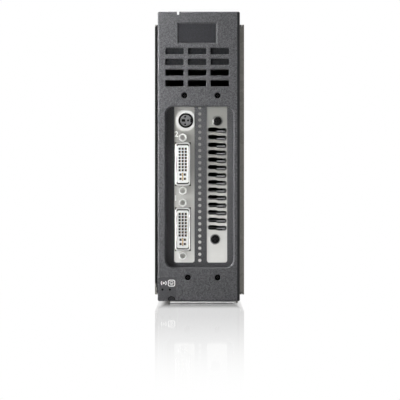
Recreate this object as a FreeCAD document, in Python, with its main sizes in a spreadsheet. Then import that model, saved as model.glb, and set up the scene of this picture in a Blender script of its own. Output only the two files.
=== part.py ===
import FreeCAD, Part
import math
import os
import re

import Sketcher

# Graphics expansion blade for a server enclosure, in millimetres.
# X runs to the right seen from the front, Y from the front to the rear, Z up.
# The origin is under the middle of the blade, on the surface it stands on.

# Driving sizes
SIZES = {
    # Case and rails
    "blade_depth": 511.0,
    "case_width": 55.6,
    "case_height": 168.2,
    "steel": 1.2,
    "runner_height": 5.2,
    "top_rail_height": 8.2,
    "rail_width": 43.6,
    "rail_shift": 2.1,
    "rail_wall": 1.2,
    "rear_reach": 16.0,
    "seam": 0.3,
    "fit": 0.05,
    # Bezel
    "bezel_gap_left": 1.9,
    "bezel_gap_right": 2.8,
    "bezel_depth": 11.0,
    "bezel_skin": 2.2,
    "bezel_rim": 2.0,
    "bezel_sill": 1.4,
    "bezel_top_gap": 0.8,
    "bezel_edge": 1.0,
    "recess_gap_left": 4.2,
    "recess_gap_right": 3.3,
    "recess_height": 101.2,
    "recess_sill": 21.6,
    "recess_depth": 8.0,
    "recess_corner": 5.0,
    "recess_wall": 1.4,
    "recess_lip": 0.7,
    "vent_corner": 0.6,
    "vent_edge": 0.3,
    "vent_shift": 0.95,
    "badge_width": 24.8,
    "badge_sink": 1.0,
    "badge_thick": 0.3,
    "access_hole": 3.75,
    "access_low": 16.0,
    "inset_width": 12.2,
    "inset_height": 14.7,
    "inset_sink": 0.5,
    "overlay_thick": 0.2,
    "light_hole": 1.6,
    "light_left": 2.95,
    "light_pitch": 4.6,
    "light_rise": 7.2,
    "key_notch_width": 1.4,
    "key_notch_depth": 2.8,
    "key_notch_place": -13.4,
    "boss_wide": 5.2,
    "boss_inset": 5.5,
    "boss_left_low": 7.6,
    "boss_rise": 7.0,
    "boss_drop": 6.0,
    # Press button and pull tab
    "button_radius": 1.75,
    "button_gap": 0.6,
    "button_place": -17.4,
    "button_rise": 2.15,
    "button_collar": 0.9,
    "button_recess": 0.4,
    "tab_thick": 1.0,
    "tab_length": 110.0,
    "tab_setback": 0.6,
    "tab_travel": 60.0,
    "tab_head_width": 30.0,
    "runner_lip": 10.0,
    "tab_slack": 0.2,
    "tab_notch_place": -11.3,
    "tab_notch_width": 1.9,
    "tab_notch_height": 1.8,
    # Black strip at the left of the bezel, with its stepped lower end
    "strip_tooth": 0.7,
    "strip_neck": 0.3,
    "strip_shoulder": 1.0,
    "strip_foot": 1.0,
    "strip_tooth_top": 2.4,
    "strip_neck_low": 2.8,
    "strip_neck_high": 4.1,
    "strip_shoulder_low": 4.5,
    "strip_shoulder_high": 7.0,
    "strip_body_low": 7.4,
    "strip_slope": 1.4,
    # Slot panel and card bracket
    "panel_thick": 1.0,
    "panel_flange": 14.0,
    "slot_pitch": 20.32,
    "slot_left": -9.45,
    "window_width": 12.7,
    "window_low": 25.15,
    "window_corner": 1.5,
    "dot_hole": 2.0,
    "dot_pitch": 3.8,
    "dot_low": 26.5,
    "dot_place": 0.15,
    "bracket_thick": 0.86,
    "bracket_height": 121.0,
    "bracket_low": 12.0,
    "bracket_side": 9.21,
    "bracket_tab": 9.0,
    "exhaust_low": 46.8,
    "exhaust_pitch": 4.68,
    "exhaust_width": 11.6,
    "exhaust_slot": 2.9,
    "exhaust_jog": 0.25,
    "exhaust_bend": 1.6,
    "exhaust_corner": 0.9,
    "exhaust_screw_high": 113.1,
    "exhaust_screw_low": 39.7,
    "screw_shank": 2.8,
    "screw_head": 5.4,
    "screw_head_tall": 1.8,
    "bracket_screw_head": 3.5,
    "screw_high_nudge": 0.2,
    "screw_low_nudge": 2.2,
    "screw_right_nudge": 0.4,
    "exhaust_nudge": 0.2,
    "exhaust_low_nudge": -1.2,
    # Sockets on the bracket
    "video_high": 86.4,
    "video_low": 45.9,
    "video_across": -10.4,
    "video_lift": 6.6,
    "video_shell_width": 9.9,
    "video_shell_height": 27.2,
    "video_shell_wall": 1.1,
    "video_shell_corner": 2.2,
    "video_shell_roll": 0.9,
    "video_reach": 5.0,
    "video_body_depth": 12.0,
    "video_body_height": 39.6,
    "video_body_width": 12.4,
    "video_tongue_width": 7.2,
    "video_tongue_height": 23.4,
    "video_tongue_back": 0.5,
    "video_tongue_corner": 1.2,
    "video_pin_pitch": 1.905,
    "video_pin_hole": 1.4,
    "video_pin_deep": 4.0,
    "jack_spacing": 33.0,
    "jack_flats": 4.75,
    "jack_reach": 5.0,
    "jack_thread": 2.85,
    "jack_bore_deep": 4.5,
    "jack_stud": 6.0,
    "jack_stud_wide": 2.2,
    "stereo_across": -8.5,
    "stereo_rise": 113.6,
    "stereo_ring": 10.6,
    "stereo_flange": 13.0,
    "stereo_groove": 5.0,
    "stereo_bore": 9.4,
    "stereo_insert": 7.0,
    "stereo_reach": 2.0,
    "stereo_pin_hole": 1.3,
    "stereo_pin_circle": 4.8,
    "stereo_pin_shift": 0.45,
    "stereo_side_pin": 1.4,
    "stereo_key_shift": 1.5,
    "stereo_key_wide": 2.2,
    "stereo_key_tall": 1.75,
    "stereo_notch": 0.8,
    "stereo_body": 13.0,
    # Graphics card and its cooler
    "card_length": 267.0,
    "card_height": 98.4,
    "card_low": 22.0,
    "card_thick": 1.57,
    "finger_front": 57.0,
    "finger_length": 84.0,
    "finger_deep": 8.0,
    "chip_size": 42.0,
    "chip_thick": 2.6,
    "chip_front": 84.0,
    "memory_size": 11.5,
    "memory_thick": 1.2,
    "memory_pitch": 17.0,
    "memory_gap": 6.0,
    "sink_front": 50.0,
    "sink_nose": 4.6,
    "sink_length": 110.0,
    "sink_base": 4.0,
    "sink_reach": 30.4,
    "fin_thick": 0.7,
    "shroud_high": 118.6,
    "shroud_low": 34.8,
    "shroud_wall": 1.5,
    "shroud_gap": 8.6,
    "shroud_rear": 250.0,
    "shroud_step": 24.0,
    "shroud_duct": 16.0,
    "duct_frame": 2.0,
    "blower_back": 206.0,
    "blower_radius": 32.0,
    "blower_tall": 18.0,
    "blower_inlet": 29.0,
    "blower_hub": 13.0,
    "blower_plate": 1.4,
    "blower_blade": 1.0,
    "blower_blade_deep": 9.0,
    "blower_gap": 0.5,
    "motor_radius": 12.0,
    "motor_tall": 7.0,
    "shaft_radius": 1.5,
    "card_can_radius": 4.0,
    "card_can_tall": 9.0,
    "card_can_pitch": 10.0,
    "plug_width": 10.0,
    "plug_height": 18.0,
    "plug_depth": 12.0,
    "plug_inset": 6.0,
    "cable_radius": 3.2,
    "cable_turn": 30.0,
    # Boards behind the card
    "riser_front": 45.0,
    "riser_length": 145.0,
    "riser_width": 30.0,
    "riser_margin": 1.0,
    "board_thick": 1.6,
    "riser_standoff": 3.0,
    "edge_slot_width": 7.5,
    "edge_slot_tall": 10.8,
    "edge_slot_margin": 3.0,
    "clip_width": 4.0,
    "clip_lift": 3.5,
    "clip_deep": 3.0,
    "clip_pin": 0.9,
    "clip_ear": 1.4,
    "main_standoff": 2.0,
    "main_front": 96.0,
    "main_margin": 8.0,
    "main_end": 6.0,
    "standoff_radius": 2.5,
    "board_screw_shank": 2.4,
    "board_screw_head": 4.6,
    "board_screw_tall": 1.4,
    "header_width": 8.0,
    "header_tall": 8.0,
    "module_thick": 11.0,
    "module_depth": 36.0,
    "can_radius": 5.0,
    "can_tall": 12.5,
    "choke_side": 11.0,
    "choke_tall": 7.0,
    "bridge_size": 27.0,
    "bridge_thick": 2.2,
    "bridge_sink_size": 38.0,
    "bridge_sink_tall": 16.0,
    "bridge_drop": 12.0,
    "bridge_behind": 26.0,
    "bay_depth": 112.0,
    "bay_gap": 14.0,
    "row_gap": 4.0,
    # Rear
    "signal_height": 34.0,
    "signal_width": 18.0,
    "signal_drop": 39.4,
    "signal_lift": 34.8,
    "power_height": 22.0,
    "contact_pitch": 3.0,
    "contact_slot": 1.6,
    "contact_wall": 2.0,
    "contact_deep": 5.0,
    "guide_outer": 6.0,
    "guide_bore": 3.6,
    "guide_across": 9.0,
    "guide_drop": 21.4,
    "guide_lift": 22.8,
    "rear_vent_width": 3.2,
    "rear_vent_height": 26.0,
    "rear_vent_pitch": 6.0,
    "rear_vent_left": 1.0,
    "rear_vent_bar": 4.0,
    # Cover and latch
    "cover_lip": 9.0,
    "bead_height": 7.0,
    "bead_deep": 0.4,
    "bead_inset": 34.0,
    "bead_end": 42.0,
    "clinch_deep": 0.3,
    "cover_flange": 3.6,
    "dish_length": 52.0,
    "dish_height": 32.0,
    "dish_deep": 6.0,
    "dish_wall": 1.2,
    "dish_flange": 3.0,
    "dish_front": 150.0,
    "dish_rise": 90.0,
    "latch_thick": 3.0,
    "latch_pin": 1.25,
    "latch_barrel": 2.4,
    "latch_scoop": 12.0,
    "rivet_shank": 3.0,
    "rivet_head": 5.0,
    "rivet_head_tall": 1.0,
    "rivet_spread": 4.0,
    "rivet_gap": 1.6,
}

# Shares of the bezel's width, of its height above the port recess, and of the main board's height
SHARES = {
    "vent_pitch_across_share": 0.276,
    "vent_width_share": 0.224,
    "access_share": 0.106,
    "vent_share": 0.2345,
    "vent_pitch_share": 0.11466,
    "vent_height_share": 0.06724,
    "badge_share": 0.769,
    "badge_height_share": 0.2345,
    "module_rise_share": 0.11,
    "module_height_share": 0.4,
    "module_pitch_share": 0.455,
    "row_rise_share": 0.2,
    "can_pitch_share": 0.09,
    "choke_pitch_share": 0.104,
}

# Counts of what repeats
VENT_COLUMNS = 3
VENT_ROWS = 4
DOT_COUNT = 26
EXHAUST_COUNT = 14
VIDEO_PIN_ROWS = 8
VIDEO_PIN_COLUMNS = 3
FIN_COUNT = 18
BRIDGE_GAP_COUNT = 6
BLADE_COUNT = 25

# Places that follow from the sizes
PLACES = {
    "front": "-blade_depth / 2",
    "rear": "blade_depth / 2",
    "blade_height": "runner_height + case_height + top_rail_height",
    "case_low": "runner_height",
    "case_high": "runner_height + case_height",
    "case_left": "-case_width / 2",
    "case_right": "case_width / 2",
    "case_front": "front + bezel_depth",
    "case_back": "rear - rear_reach",
    "rail_left": "rail_shift - rail_width / 2",
    "rail_right": "rail_shift + rail_width / 2",
    "bezel_left": "case_left + bezel_gap_left",
    "bezel_right": "case_right - bezel_gap_right",
    "bezel_middle": "(bezel_left + bezel_right) / 2",
    "bezel_wide": "bezel_right - bezel_left",
    "vent_pitch_across": "bezel_wide * vent_pitch_across_share",
    "vent_width": "bezel_wide * vent_width_share",
    "vent_middle": "bezel_middle - vent_shift",
    "bezel_top": "blade_height - bezel_top_gap",
    "skin_back": "front + bezel_skin",
    "recess_top": "recess_sill + recess_height",
    "head_room": "bezel_top - recess_top",
    "access_high": "recess_top + head_room * access_share",
    "vent_low": "recess_top + head_room * vent_share",
    "vent_pitch_up": "head_room * vent_pitch_share",
    "vent_height": "head_room * vent_height_share",
    "vent_high": f"vent_low + vent_pitch_up * {VENT_ROWS - 1}",
    "badge_rise": "recess_top + head_room * badge_share",
    "badge_height": "head_room * badge_height_share",
    "light_base": "bezel_sill + light_rise",
    "light_first": "bezel_left + light_left",
    "button_back": "skin_back + seam",
    "button_floor": "bezel_sill + seam",
    "panel_front": "front + recess_depth",
    "panel_back": "panel_front + panel_thick",
    "panel_left": "bezel_left + bezel_rim + seam",
    "panel_right": "bezel_right - bezel_rim - seam",
    "slot_right": "slot_left + slot_pitch",
    "screw_left_high": "slot_left + screw_high_nudge",
    "screw_left_low": "slot_left + screw_low_nudge",
    "screw_right": "slot_right + screw_right_nudge",
    "exhaust_left_edge": "slot_right - exhaust_width / 2 + exhaust_nudge",
    "bracket_back": "panel_back + bracket_thick",
    "bracket_left": "slot_left - bracket_side",
    "bracket_right": "slot_right + bracket_side",
    "bracket_top": "bracket_low + bracket_height",
    "card_face": "video_across - video_lift",
    "card_back": "card_face - card_thick",
    "card_front": "bracket_back + seam",
    "card_rear": "card_front + card_length",
    "sink_face": "card_face + chip_thick",
    "cooler_middle": "(shroud_low + shroud_high) / 2",
    "sink_low": "shroud_low + shroud_wall + seam",
    "sink_high": "shroud_high - shroud_wall - seam",
    "shroud_inner": "card_face + memory_thick + seam",
    "shroud_outer": "cover_inside - shroud_gap",
    "shroud_back": "card_front + shroud_rear",
    "blower_middle": "card_front + blower_back",
    "blower_rise": "cooler_middle",
    "rotor_base": "card_face + motor_tall + blower_gap",
    "plug_rise": "card_low + card_height - plug_height / 2 - plug_inset",
    "plug_across": "card_face + plug_width / 2",
    "plug_end": "card_rear + plug_depth",
    "header_front": "bay_start - bay_gap - plug_depth",
    "header_plug": "header_front - plug_depth",
    "floor_top": "case_low + steel",
    "riser_low": "floor_top + riser_standoff",
    "riser_top": "riser_low + board_thick",
    "riser_start": "card_front + riser_front",
    "riser_end": "riser_start + riser_length",
    "edge_slot_start": "card_front + finger_front - edge_slot_margin",
    "edge_slot_end": "card_front + finger_front + finger_length + edge_slot_margin",
    "edge_slot_middle": "card_face - card_thick / 2",
    "edge_slot_top": "riser_top + edge_slot_tall",
    "riser_left": "wall_inside + riser_margin",
    "clip_middle": "edge_slot_end + clip_deep / 2 + seam",
    "clip_axis": "riser_top + clip_lift",
    "header_start": "clip_middle + clip_deep * 3",
    "wall_inside": "case_left + steel",
    "main_back": "wall_inside + main_standoff",
    "main_face": "main_back + board_thick",
    "main_start": "front + main_front",
    "main_stop": "case_back - steel - main_end",
    "main_low": "edge_slot_top + seam",
    "main_tall": "main_top - main_low",
    "bay_start": "rear - bay_depth",
    "bay_row": "bay_start + module_depth + row_gap",
    "main_top": "case_high - steel - main_margin",
    "rear_inside": "case_back - steel",
    "signal_high": "case_high - signal_drop",
    "signal_low": "case_low + signal_lift",
    "power_rise": "(signal_high + signal_low) / 2",
    "guide_high": "case_high - guide_drop",
    "guide_low": "case_low + guide_lift",
    "cover_inside": "case_right - steel",
    "cover_lip_left": "cover_inside - cover_lip",
    "rivet_middle": "cover_lip_left - rivet_gap - rivet_head - rivet_spread",
    "dish_start": "front + dish_front",
    "dish_end": "dish_start + dish_length",
    "dish_low": "dish_rise - dish_height / 2",
    "dish_high": "dish_rise + dish_height / 2",
    "dish_floor": "case_right - dish_deep",
    "latch_axis_across": "case_right - latch_thick - seam",
    "latch_axis_along": "dish_end - dish_wall - latch_barrel - seam",
}

doc = FreeCAD.newDocument("graphics_blade")
sheet = doc.addObject("Spreadsheet::Sheet", "Sizes")
for row, (size_name, size_value) in enumerate({**SIZES, **SHARES}.items(), start=1):
    sheet.set(f"A{row}", size_name)
    sheet.set(f"B{row}", str(size_value))
    sheet.setAlias(f"B{row}", size_name)
doc.recompute()

ORIGIN_PLANES = {"front": "XZ_Plane", "side": "YZ_Plane", "top": "XY_Plane"}
AXIS_TURNS = {
    "x": FreeCAD.Rotation(FreeCAD.Vector(0, 1, 0), 90),
    "y": FreeCAD.Rotation(FreeCAD.Vector(1, 0, 0), -90),
    "z": FreeCAD.Rotation(),
}
nodes = []


def formula(text):
    """An expression on the sheet, from text that uses names of sizes and places."""
    def swap(match):
        word = match.group(0)
        if word in PLACES:
            return "(" + formula(PLACES[word]) + ")"
        if word in SIZES or word in SHARES:
            return "Sizes." + word
        return word
    return re.sub(r"[A-Za-z_]+", swap, str(text))


def size(name):
    return float(sheet.get(name))


def bind(thing, **formulas):
    for key, text in formulas.items():
        thing.setExpression(key, formula(text))


def place(thing, x, y, z):
    for axis, text in zip("xyz", (x, y, z)):
        thing.setExpression("Placement.Base." + axis, formula(text))


def node(thing):
    """Marks a finished sub-part, which gets a file of its own."""
    nodes.append(thing)
    return thing


# Part primitives and booleans

def block(name, x_span, y_span, z_span):
    box = doc.addObject("Part::Box", name)
    spans = (x_span, y_span, z_span)
    for side, (low, high) in zip(("Length", "Width", "Height"), spans):
        box.setExpression(side, formula(f"({high}) - ({low})"))
    place(box, *(low for low, high in spans))
    return box


def rod(name, axis, start, length, radius):
    cylinder = doc.addObject("Part::Cylinder", name)
    cylinder.Placement.Rotation = AXIS_TURNS[axis]
    bind(cylinder, Radius=radius, Height=length)
    place(cylinder, *start)
    return cylinder


def fuse(name, *things):
    joined = doc.addObject("Part::MultiFuse", name)
    joined.Shapes = list(things)
    return joined


def cut(name, base, *tools):
    result = doc.addObject("Part::Cut", name)
    result.Base = base
    result.Tool = tools[0] if len(tools) == 1 else fuse(name + "_tools", *tools)
    return result


def group(name, things):
    together = doc.addObject("Part::Compound", name)
    together.Links = things
    return together


def screw(name, axis, seat, head_radius, head_tall, shank_radius, shank_length):
    """A screw or rivet whose shank runs up its axis from the seat, with its head below the seat."""
    x, y, z = seat
    head_seat = {
        "x": (f"({x}) - ({head_tall})", y, z),
        "y": (x, f"({y}) - ({head_tall})", z),
        "z": (x, y, f"({z}) - ({head_tall})"),
    }[axis]
    head = rod(name + "_head", axis, head_seat, head_tall, head_radius)
    shank = rod(name + "_shank", axis, seat, shank_length, shank_radius)
    return fuse(name, head, shank)


def bolt_back(name, axis, seat, head_radius, head_tall, shank_radius, shank_length):
    """The same, turned round: its shank runs down the axis and its head stands above the seat."""
    x, y, z = seat
    shank_seat = {
        "x": (f"({x}) - ({shank_length})", y, z),
        "y": (x, f"({y}) - ({shank_length})", z),
        "z": (x, y, f"({z}) - ({shank_length})"),
    }[axis]
    head = rod(name + "_head", axis, seat, head_tall, head_radius)
    shank = rod(name + "_shank", axis, shank_seat, shank_length, shank_radius)
    return fuse(name, head, shank)


# Sketches and the features made from them

def new_body(name):
    return doc.addObject("PartDesign::Body", name)


class Drawing:
    """A sketch on one of its body's own planes, whose lines and dimensions go in together."""

    def __init__(self, body, view, at):
        self.sketch = body.newObject("Sketcher::SketchObject", body.Name + "_sketch")
        role = ORIGIN_PLANES[view]
        plane = next(item for item in body.Origin.OriginFeatures if item.Role == role)
        self.sketch.AttachmentSupport = [(plane, "")]
        self.sketch.MapMode = "FlatFace"
        self.faces_front = view == "front"
        sign = "-" if self.faces_front else ""
        self.sketch.setExpression("AttachmentOffset.Base.z", formula(f"{sign}({at})"))
        self.lines = []
        self.rules = []
        self.formulas = []

    def dimension(self, kind, *where, now, to):
        self.formulas.append((len(self.rules), to))
        self.rules.append(Sketcher.Constraint(kind, *where, now))

    def outline(self, points):
        """A closed polygon, each corner held by its two distances from the origin."""
        first = len(self.lines)
        total = len(points)
        turns = [2 * math.pi * number / total for number in range(total)]
        corners = [FreeCAD.Vector(3 + math.cos(turn), 3 + math.sin(turn), 0) for turn in turns]
        for number, (across, up) in enumerate(points):
            following = (number + 1) % total
            corner = corners[number]
            self.lines.append(Part.LineSegment(corner, corners[following]))
            self.rules.append(Sketcher.Constraint("Coincident", first + number, 2, first + following, 1))
            self.dimension("DistanceX", -1, 1, first + number, 1, now=corner.x, to=across)
            self.dimension("DistanceY", -1, 1, first + number, 1, now=corner.y, to=up)

    def rectangle(self, across_span, up_span):
        left, right = across_span
        low, high = up_span
        self.outline([(left, low), (right, low), (right, high), (left, high)])

    def circle(self, across, up, radius):
        number = len(self.lines)
        self.lines.append(Part.Circle(FreeCAD.Vector(3, 3, 0), FreeCAD.Vector(0, 0, 1), 1))
        self.dimension("Radius", number, now=1, to=radius)
        self.dimension("DistanceX", -1, 1, number, 3, now=3, to=across)
        self.dimension("DistanceY", -1, 1, number, 3, now=3, to=up)

    def finish(self):
        self.sketch.addGeometry(self.lines)
        self.sketch.addConstraint(self.rules)
        for number, text in self.formulas:
            self.sketch.setExpression(f"Constraints[{number}]", formula(text))
        return self.sketch


def pad(body, drawing, length):
    """Adds material from the sketch towards the rear, the right or the top."""
    feature = body.newObject("PartDesign::Pad", body.Name + "_pad")
    feature.Profile = drawing.finish()
    bind(feature, Length=length)
    feature.Reversed = drawing.faces_front
    doc.recompute()
    return feature


def pocket(body, drawing, length, taper=0):
    """Takes material away from the sketch towards the rear, the right or the top."""
    volume = body.Shape.Volume
    feature = body.newObject("PartDesign::Pocket", body.Name + "_pocket")
    feature.Profile = drawing.finish()
    bind(feature, Length=length)
    feature.TaperAngle = taper
    feature.Reversed = not drawing.faces_front
    doc.recompute()
    if body.Shape.Volume >= volume:
        raise RuntimeError(f"{feature.Name} of {body.Label} cuts nothing")
    return feature


def repeat_up(body, feature, reach, count):
    """Repeats a feature up the body's Z axis, over the reach from the first copy to the last."""
    pattern = body.newObject("PartDesign::LinearPattern", body.Name + "_row")
    pattern.Originals = [feature]
    up_axis = next(item for item in body.Origin.OriginFeatures if item.Role == "Z_Axis")
    pattern.Direction = (up_axis, [""])
    bind(pattern, Length=reach)
    pattern.Occurrences = count
    body.Tip = pattern
    doc.recompute()
    return pattern


def edge_middle(edge):
    middle = edge.BoundBox.Center
    return (round(middle.x, 3), round(middle.y, 3), round(middle.z, 3))


def middles(body):
    return {edge_middle(edge) for edge in body.Shape.Edges}


def soften(body, kind, amount, old_middles, along):
    """Fillets or chamfers the edges that are new since old_middles and pass the test along."""
    base = body.Tip
    names = []
    for number, edge in enumerate(base.Shape.Edges, start=1):
        if edge_middle(edge) not in old_middles and along(edge):
            names.append(f"Edge{number}")
    feature = body.newObject("PartDesign::" + kind, body.Name + "_" + kind.lower())
    feature.Base = (base, names)
    bind(feature, **{"Radius" if kind == "Fillet" else "Size": amount})
    doc.recompute()
    return feature


def runs_deep(edge):
    bounds = edge.BoundBox
    return bounds.YLength > 0.01 and bounds.XLength < 0.01 and bounds.ZLength < 0.01


def lies_at(depth):
    def test(edge):
        bounds = edge.BoundBox
        return abs(bounds.YMin - depth) < 0.001 and abs(bounds.YMax - depth) < 0.001
    return test


# Bezel: one moulding with a deep port recess, vents, a badge recess and screw access holes

def vent_columns():
    for column in range(VENT_COLUMNS):
        yield f"vent_middle + vent_pitch_across * ({column} - {(VENT_COLUMNS - 1) / 2})"


def access_holes():
    yield "screw_left_high", "access_high"
    yield "screw_right", "access_high"
    yield "screw_left_low", "access_low"
    yield "screw_right", "access_low"


def boss_places():
    yield "bezel_left + boss_inset", "bezel_top - boss_drop"
    yield "bezel_right - boss_inset", "bezel_top - boss_drop"
    yield "bezel_middle - boss_left_low", "bezel_sill + boss_rise"
    yield "bezel_right - boss_inset", "bezel_sill + boss_rise"


def light_places():
    for number in range(2):
        yield f"light_first + light_pitch * {number}", "light_base"


def make_bezel():
    body = new_body("front_bezel")
    front_face = lies_at(-size("blade_depth") / 2)

    drawing = Drawing(body, "front", "front")
    drawing.rectangle(("bezel_left", "bezel_right"), ("bezel_sill", "bezel_top"))
    pad(body, drawing, "bezel_depth")
    soften(body, "Fillet", "bezel_edge", set(), lambda edge: front_face(edge) or runs_deep(edge))

    drawing = Drawing(body, "front", "panel_front")
    inside = ("bezel_left + bezel_rim", "bezel_right - bezel_rim")
    drawing.rectangle(inside, ("bezel_sill + bezel_rim", "bezel_top - bezel_rim"))
    pocket(body, drawing, "bezel_depth - recess_depth")

    drawing = Drawing(body, "front", "skin_back")
    drawing.rectangle(inside, ("recess_top + recess_wall", "bezel_top - bezel_rim"))
    drawing.rectangle(inside, ("bezel_sill + bezel_rim", "recess_sill - recess_wall"))
    pocket(body, drawing, "recess_depth - bezel_skin")

    drawing = Drawing(body, "front", "skin_back")
    for across, up in boss_places():
        drawing.circle(across, up, "boss_wide / 2")
    pad(body, drawing, "recess_depth - bezel_skin")

    drawing = Drawing(body, "front", "skin_back")
    for across, up in boss_places():
        drawing.circle(across, up, "screw_shank / 2 + fit")
    pocket(body, drawing, "recess_depth - bezel_skin")

    before = middles(body)
    drawing = Drawing(body, "front", "front")
    drawing.rectangle(("bezel_left + recess_gap_left + recess_lip",
                       "bezel_right - recess_gap_right - recess_lip"),
                      ("recess_sill + recess_lip", "recess_top - recess_lip"))
    pocket(body, drawing, "recess_depth")
    soften(body, "Fillet", "recess_corner", before, runs_deep)
    soften(body, "Chamfer", "recess_lip", before, front_face)

    before = middles(body)
    drawing = Drawing(body, "front", "front")
    for across in vent_columns():
        drawing.rectangle((f"{across} - vent_width / 2", f"{across} + vent_width / 2"),
                          ("vent_low - vent_height / 2", "vent_low + vent_height / 2"))
    vents = pocket(body, drawing, "bezel_skin")
    repeat_up(body, vents, f"vent_pitch_up * {VENT_ROWS - 1}", VENT_ROWS)
    soften(body, "Fillet", "vent_corner", before, runs_deep)
    soften(body, "Chamfer", "vent_edge", before, front_face)

    drawing = Drawing(body, "front", "front")
    drawing.rectangle(("vent_middle - badge_width / 2", "vent_middle + badge_width / 2"),
                      ("badge_rise - badge_height / 2", "badge_rise + badge_height / 2"))
    pocket(body, drawing, "badge_sink", taper=-45)

    drawing = Drawing(body, "front", "front")
    drawing.rectangle(("bezel_left - bezel_rim", "bezel_left + inset_width"),
                      ("bezel_sill - bezel_rim", "bezel_sill + inset_height"))
    pocket(body, drawing, "inset_sink", taper=-45)

    before = middles(body)
    drawing = Drawing(body, "front", "front")
    for across, up in access_holes():
        drawing.circle(across, up, "access_hole / 2")
    pocket(body, drawing, "bezel_skin")
    soften(body, "Chamfer", "vent_edge", before, front_face)

    drawing = Drawing(body, "front", "front")
    for across, up in light_places():
        drawing.circle(across, up, "light_hole / 2")
    pocket(body, drawing, "bezel_skin")

    drawing = Drawing(body, "front", "front")
    drawing.circle("button_place", "button_rise", "button_radius + button_gap")
    pocket(body, drawing, "recess_depth")

    drawing = Drawing(body, "front", "front")
    drawing.rectangle(("tab_notch_place - tab_notch_width / 2", "tab_notch_place + tab_notch_width / 2"),
                      ("bezel_sill - bezel_rim", "bezel_sill + tab_notch_height"))
    pocket(body, drawing, "bezel_skin")

    drawing = Drawing(body, "front", "skin_back")
    drawing.circle("button_place", "button_rise", "button_radius + button_gap + button_collar + seam")
    pocket(body, drawing, "recess_depth - bezel_skin")

    drawing = Drawing(body, "front", "front")
    drawing.rectangle(("key_notch_place - key_notch_width / 2", "key_notch_place + key_notch_width / 2"),
                      ("blade_height - key_notch_depth", "blade_height"))
    pocket(body, drawing, "bezel_depth")
    return node(body)


def make_badge_and_overlay():
    """The bare plate in the badge recess, and the thin printed overlay of the indicator inset."""
    node(block("badge_plate",
               ("vent_middle - badge_width / 2 + badge_sink", "vent_middle + badge_width / 2 - badge_sink"),
               ("front + badge_sink - badge_thick", "front + badge_sink"),
               ("badge_rise - badge_height / 2 + badge_sink", "badge_rise + badge_height / 2 - badge_sink")))

    body = new_body("indicator_overlay")
    drawing = Drawing(body, "front", "front + inset_sink - overlay_thick")
    drawing.rectangle(("bezel_left + bezel_edge", "bezel_left + inset_width - inset_sink"),
                      ("bezel_sill + bezel_edge", "bezel_sill + inset_height - inset_sink"))
    pad(body, drawing, "overlay_thick")
    drawing = Drawing(body, "front", "front + inset_sink - overlay_thick")
    for across, up in light_places():
        drawing.circle(across, up, "light_hole / 2")
    drawing.circle("button_place", "button_rise", "button_radius + button_gap")
    pocket(body, drawing, "overlay_thick")
    node(body)


def make_indicators():
    """Two light pipes in the bezel, lit by a small board on the slot panel."""
    pipes = []
    for number, (across, up) in enumerate(light_places()):
        start = (across, "front + inset_sink", up)
        length = "recess_depth - board_thick - inset_sink"
        pipes.append(rod(f"light_pipe_{number}", "y", start, length, "light_hole / 2 - fit"))
    node(group("indicator_light_pipes", pipes))
    node(block("indicator_board",
               ("light_first - light_hole / 2", "light_first + light_pitch + light_hole"),
               ("panel_front - board_thick", "panel_front"),
               ("light_base - light_pitch / 2", "light_base + light_pitch")))


def make_button():
    """A half-round press button: a plunger in the lower edge of the bezel with a collar behind its skin."""
    def half_round(name, y_start, length, radius):
        disc = rod(name + "_disc", "y", ("button_place", y_start, "button_rise"), length, radius)
        above = block(name + "_above", (f"button_place - ({radius})", f"button_place + ({radius})"),
                      (y_start, f"({y_start}) + ({length})"),
                      ("button_floor", f"button_rise + ({radius})"))
        half = doc.addObject("Part::Common", name)
        half.Base = disc
        half.Tool = above
        return half
    plunger = half_round("button_plunger", "front + button_recess", "bezel_skin + seam - button_recess",
                         "button_radius")
    collar = half_round("button_collar", "button_back", "button_collar",
                        "button_radius + button_gap + button_collar")
    node(fuse("press_button", plunger, collar))


def make_slot_panel():
    body = new_body("slot_panel")
    drawing = Drawing(body, "front", "panel_front")
    drawing.rectangle(("panel_left", "panel_right"),
                      ("bezel_sill + bezel_rim + seam", "bezel_top - bezel_rim - seam"))
    pad(body, drawing, "panel_thick")

    before = middles(body)
    drawing = Drawing(body, "front", "panel_front")
    for middle in ("slot_left", "slot_right"):
        drawing.rectangle((f"{middle} - window_width / 2", f"{middle} + window_width / 2"),
                          ("window_low", "recess_top"))
    pocket(body, drawing, "panel_thick")
    soften(body, "Fillet", "window_corner", before, runs_deep)

    drawing = Drawing(body, "front", "panel_front")
    for number in range(DOT_COUNT):
        drawing.circle("dot_place", f"dot_low + dot_pitch * {number}", "dot_hole / 2")
    for across, up in access_holes():
        drawing.circle(across, up, "screw_shank / 2 + fit")
    for across, up in boss_places():
        drawing.circle(across, up, "screw_shank / 2 + fit")
    vent_side = "(vent_pitch_across * 2 + vent_width) / 2"
    drawing.rectangle((f"vent_middle - {vent_side}", f"vent_middle + {vent_side}"),
                      ("vent_low - vent_height / 2", "vent_low + vent_pitch_up + vent_height / 2"))
    pocket(body, drawing, "panel_thick")

    drawing = Drawing(body, "front", "panel_back")
    for low, high in (("floor_top", "floor_top + panel_thick"),
                      ("case_high - steel - panel_thick", "case_high - steel")):
        drawing.rectangle(("rivet_middle - rivet_spread - rivet_head",
                           "rivet_middle + rivet_spread + rivet_head"), (low, high))
    pad(body, drawing, "panel_flange")

    drawing = Drawing(body, "top", "case_low")
    for across, along in panel_rivets():
        drawing.circle(across, along, "rivet_shank / 2 + fit")
    pocket(body, drawing, "case_height")
    return node(body)


def panel_rivets():
    for side in (-1, 1):
        yield f"rivet_middle + rivet_spread * {side}", "panel_back + panel_flange - rivet_head"


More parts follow.
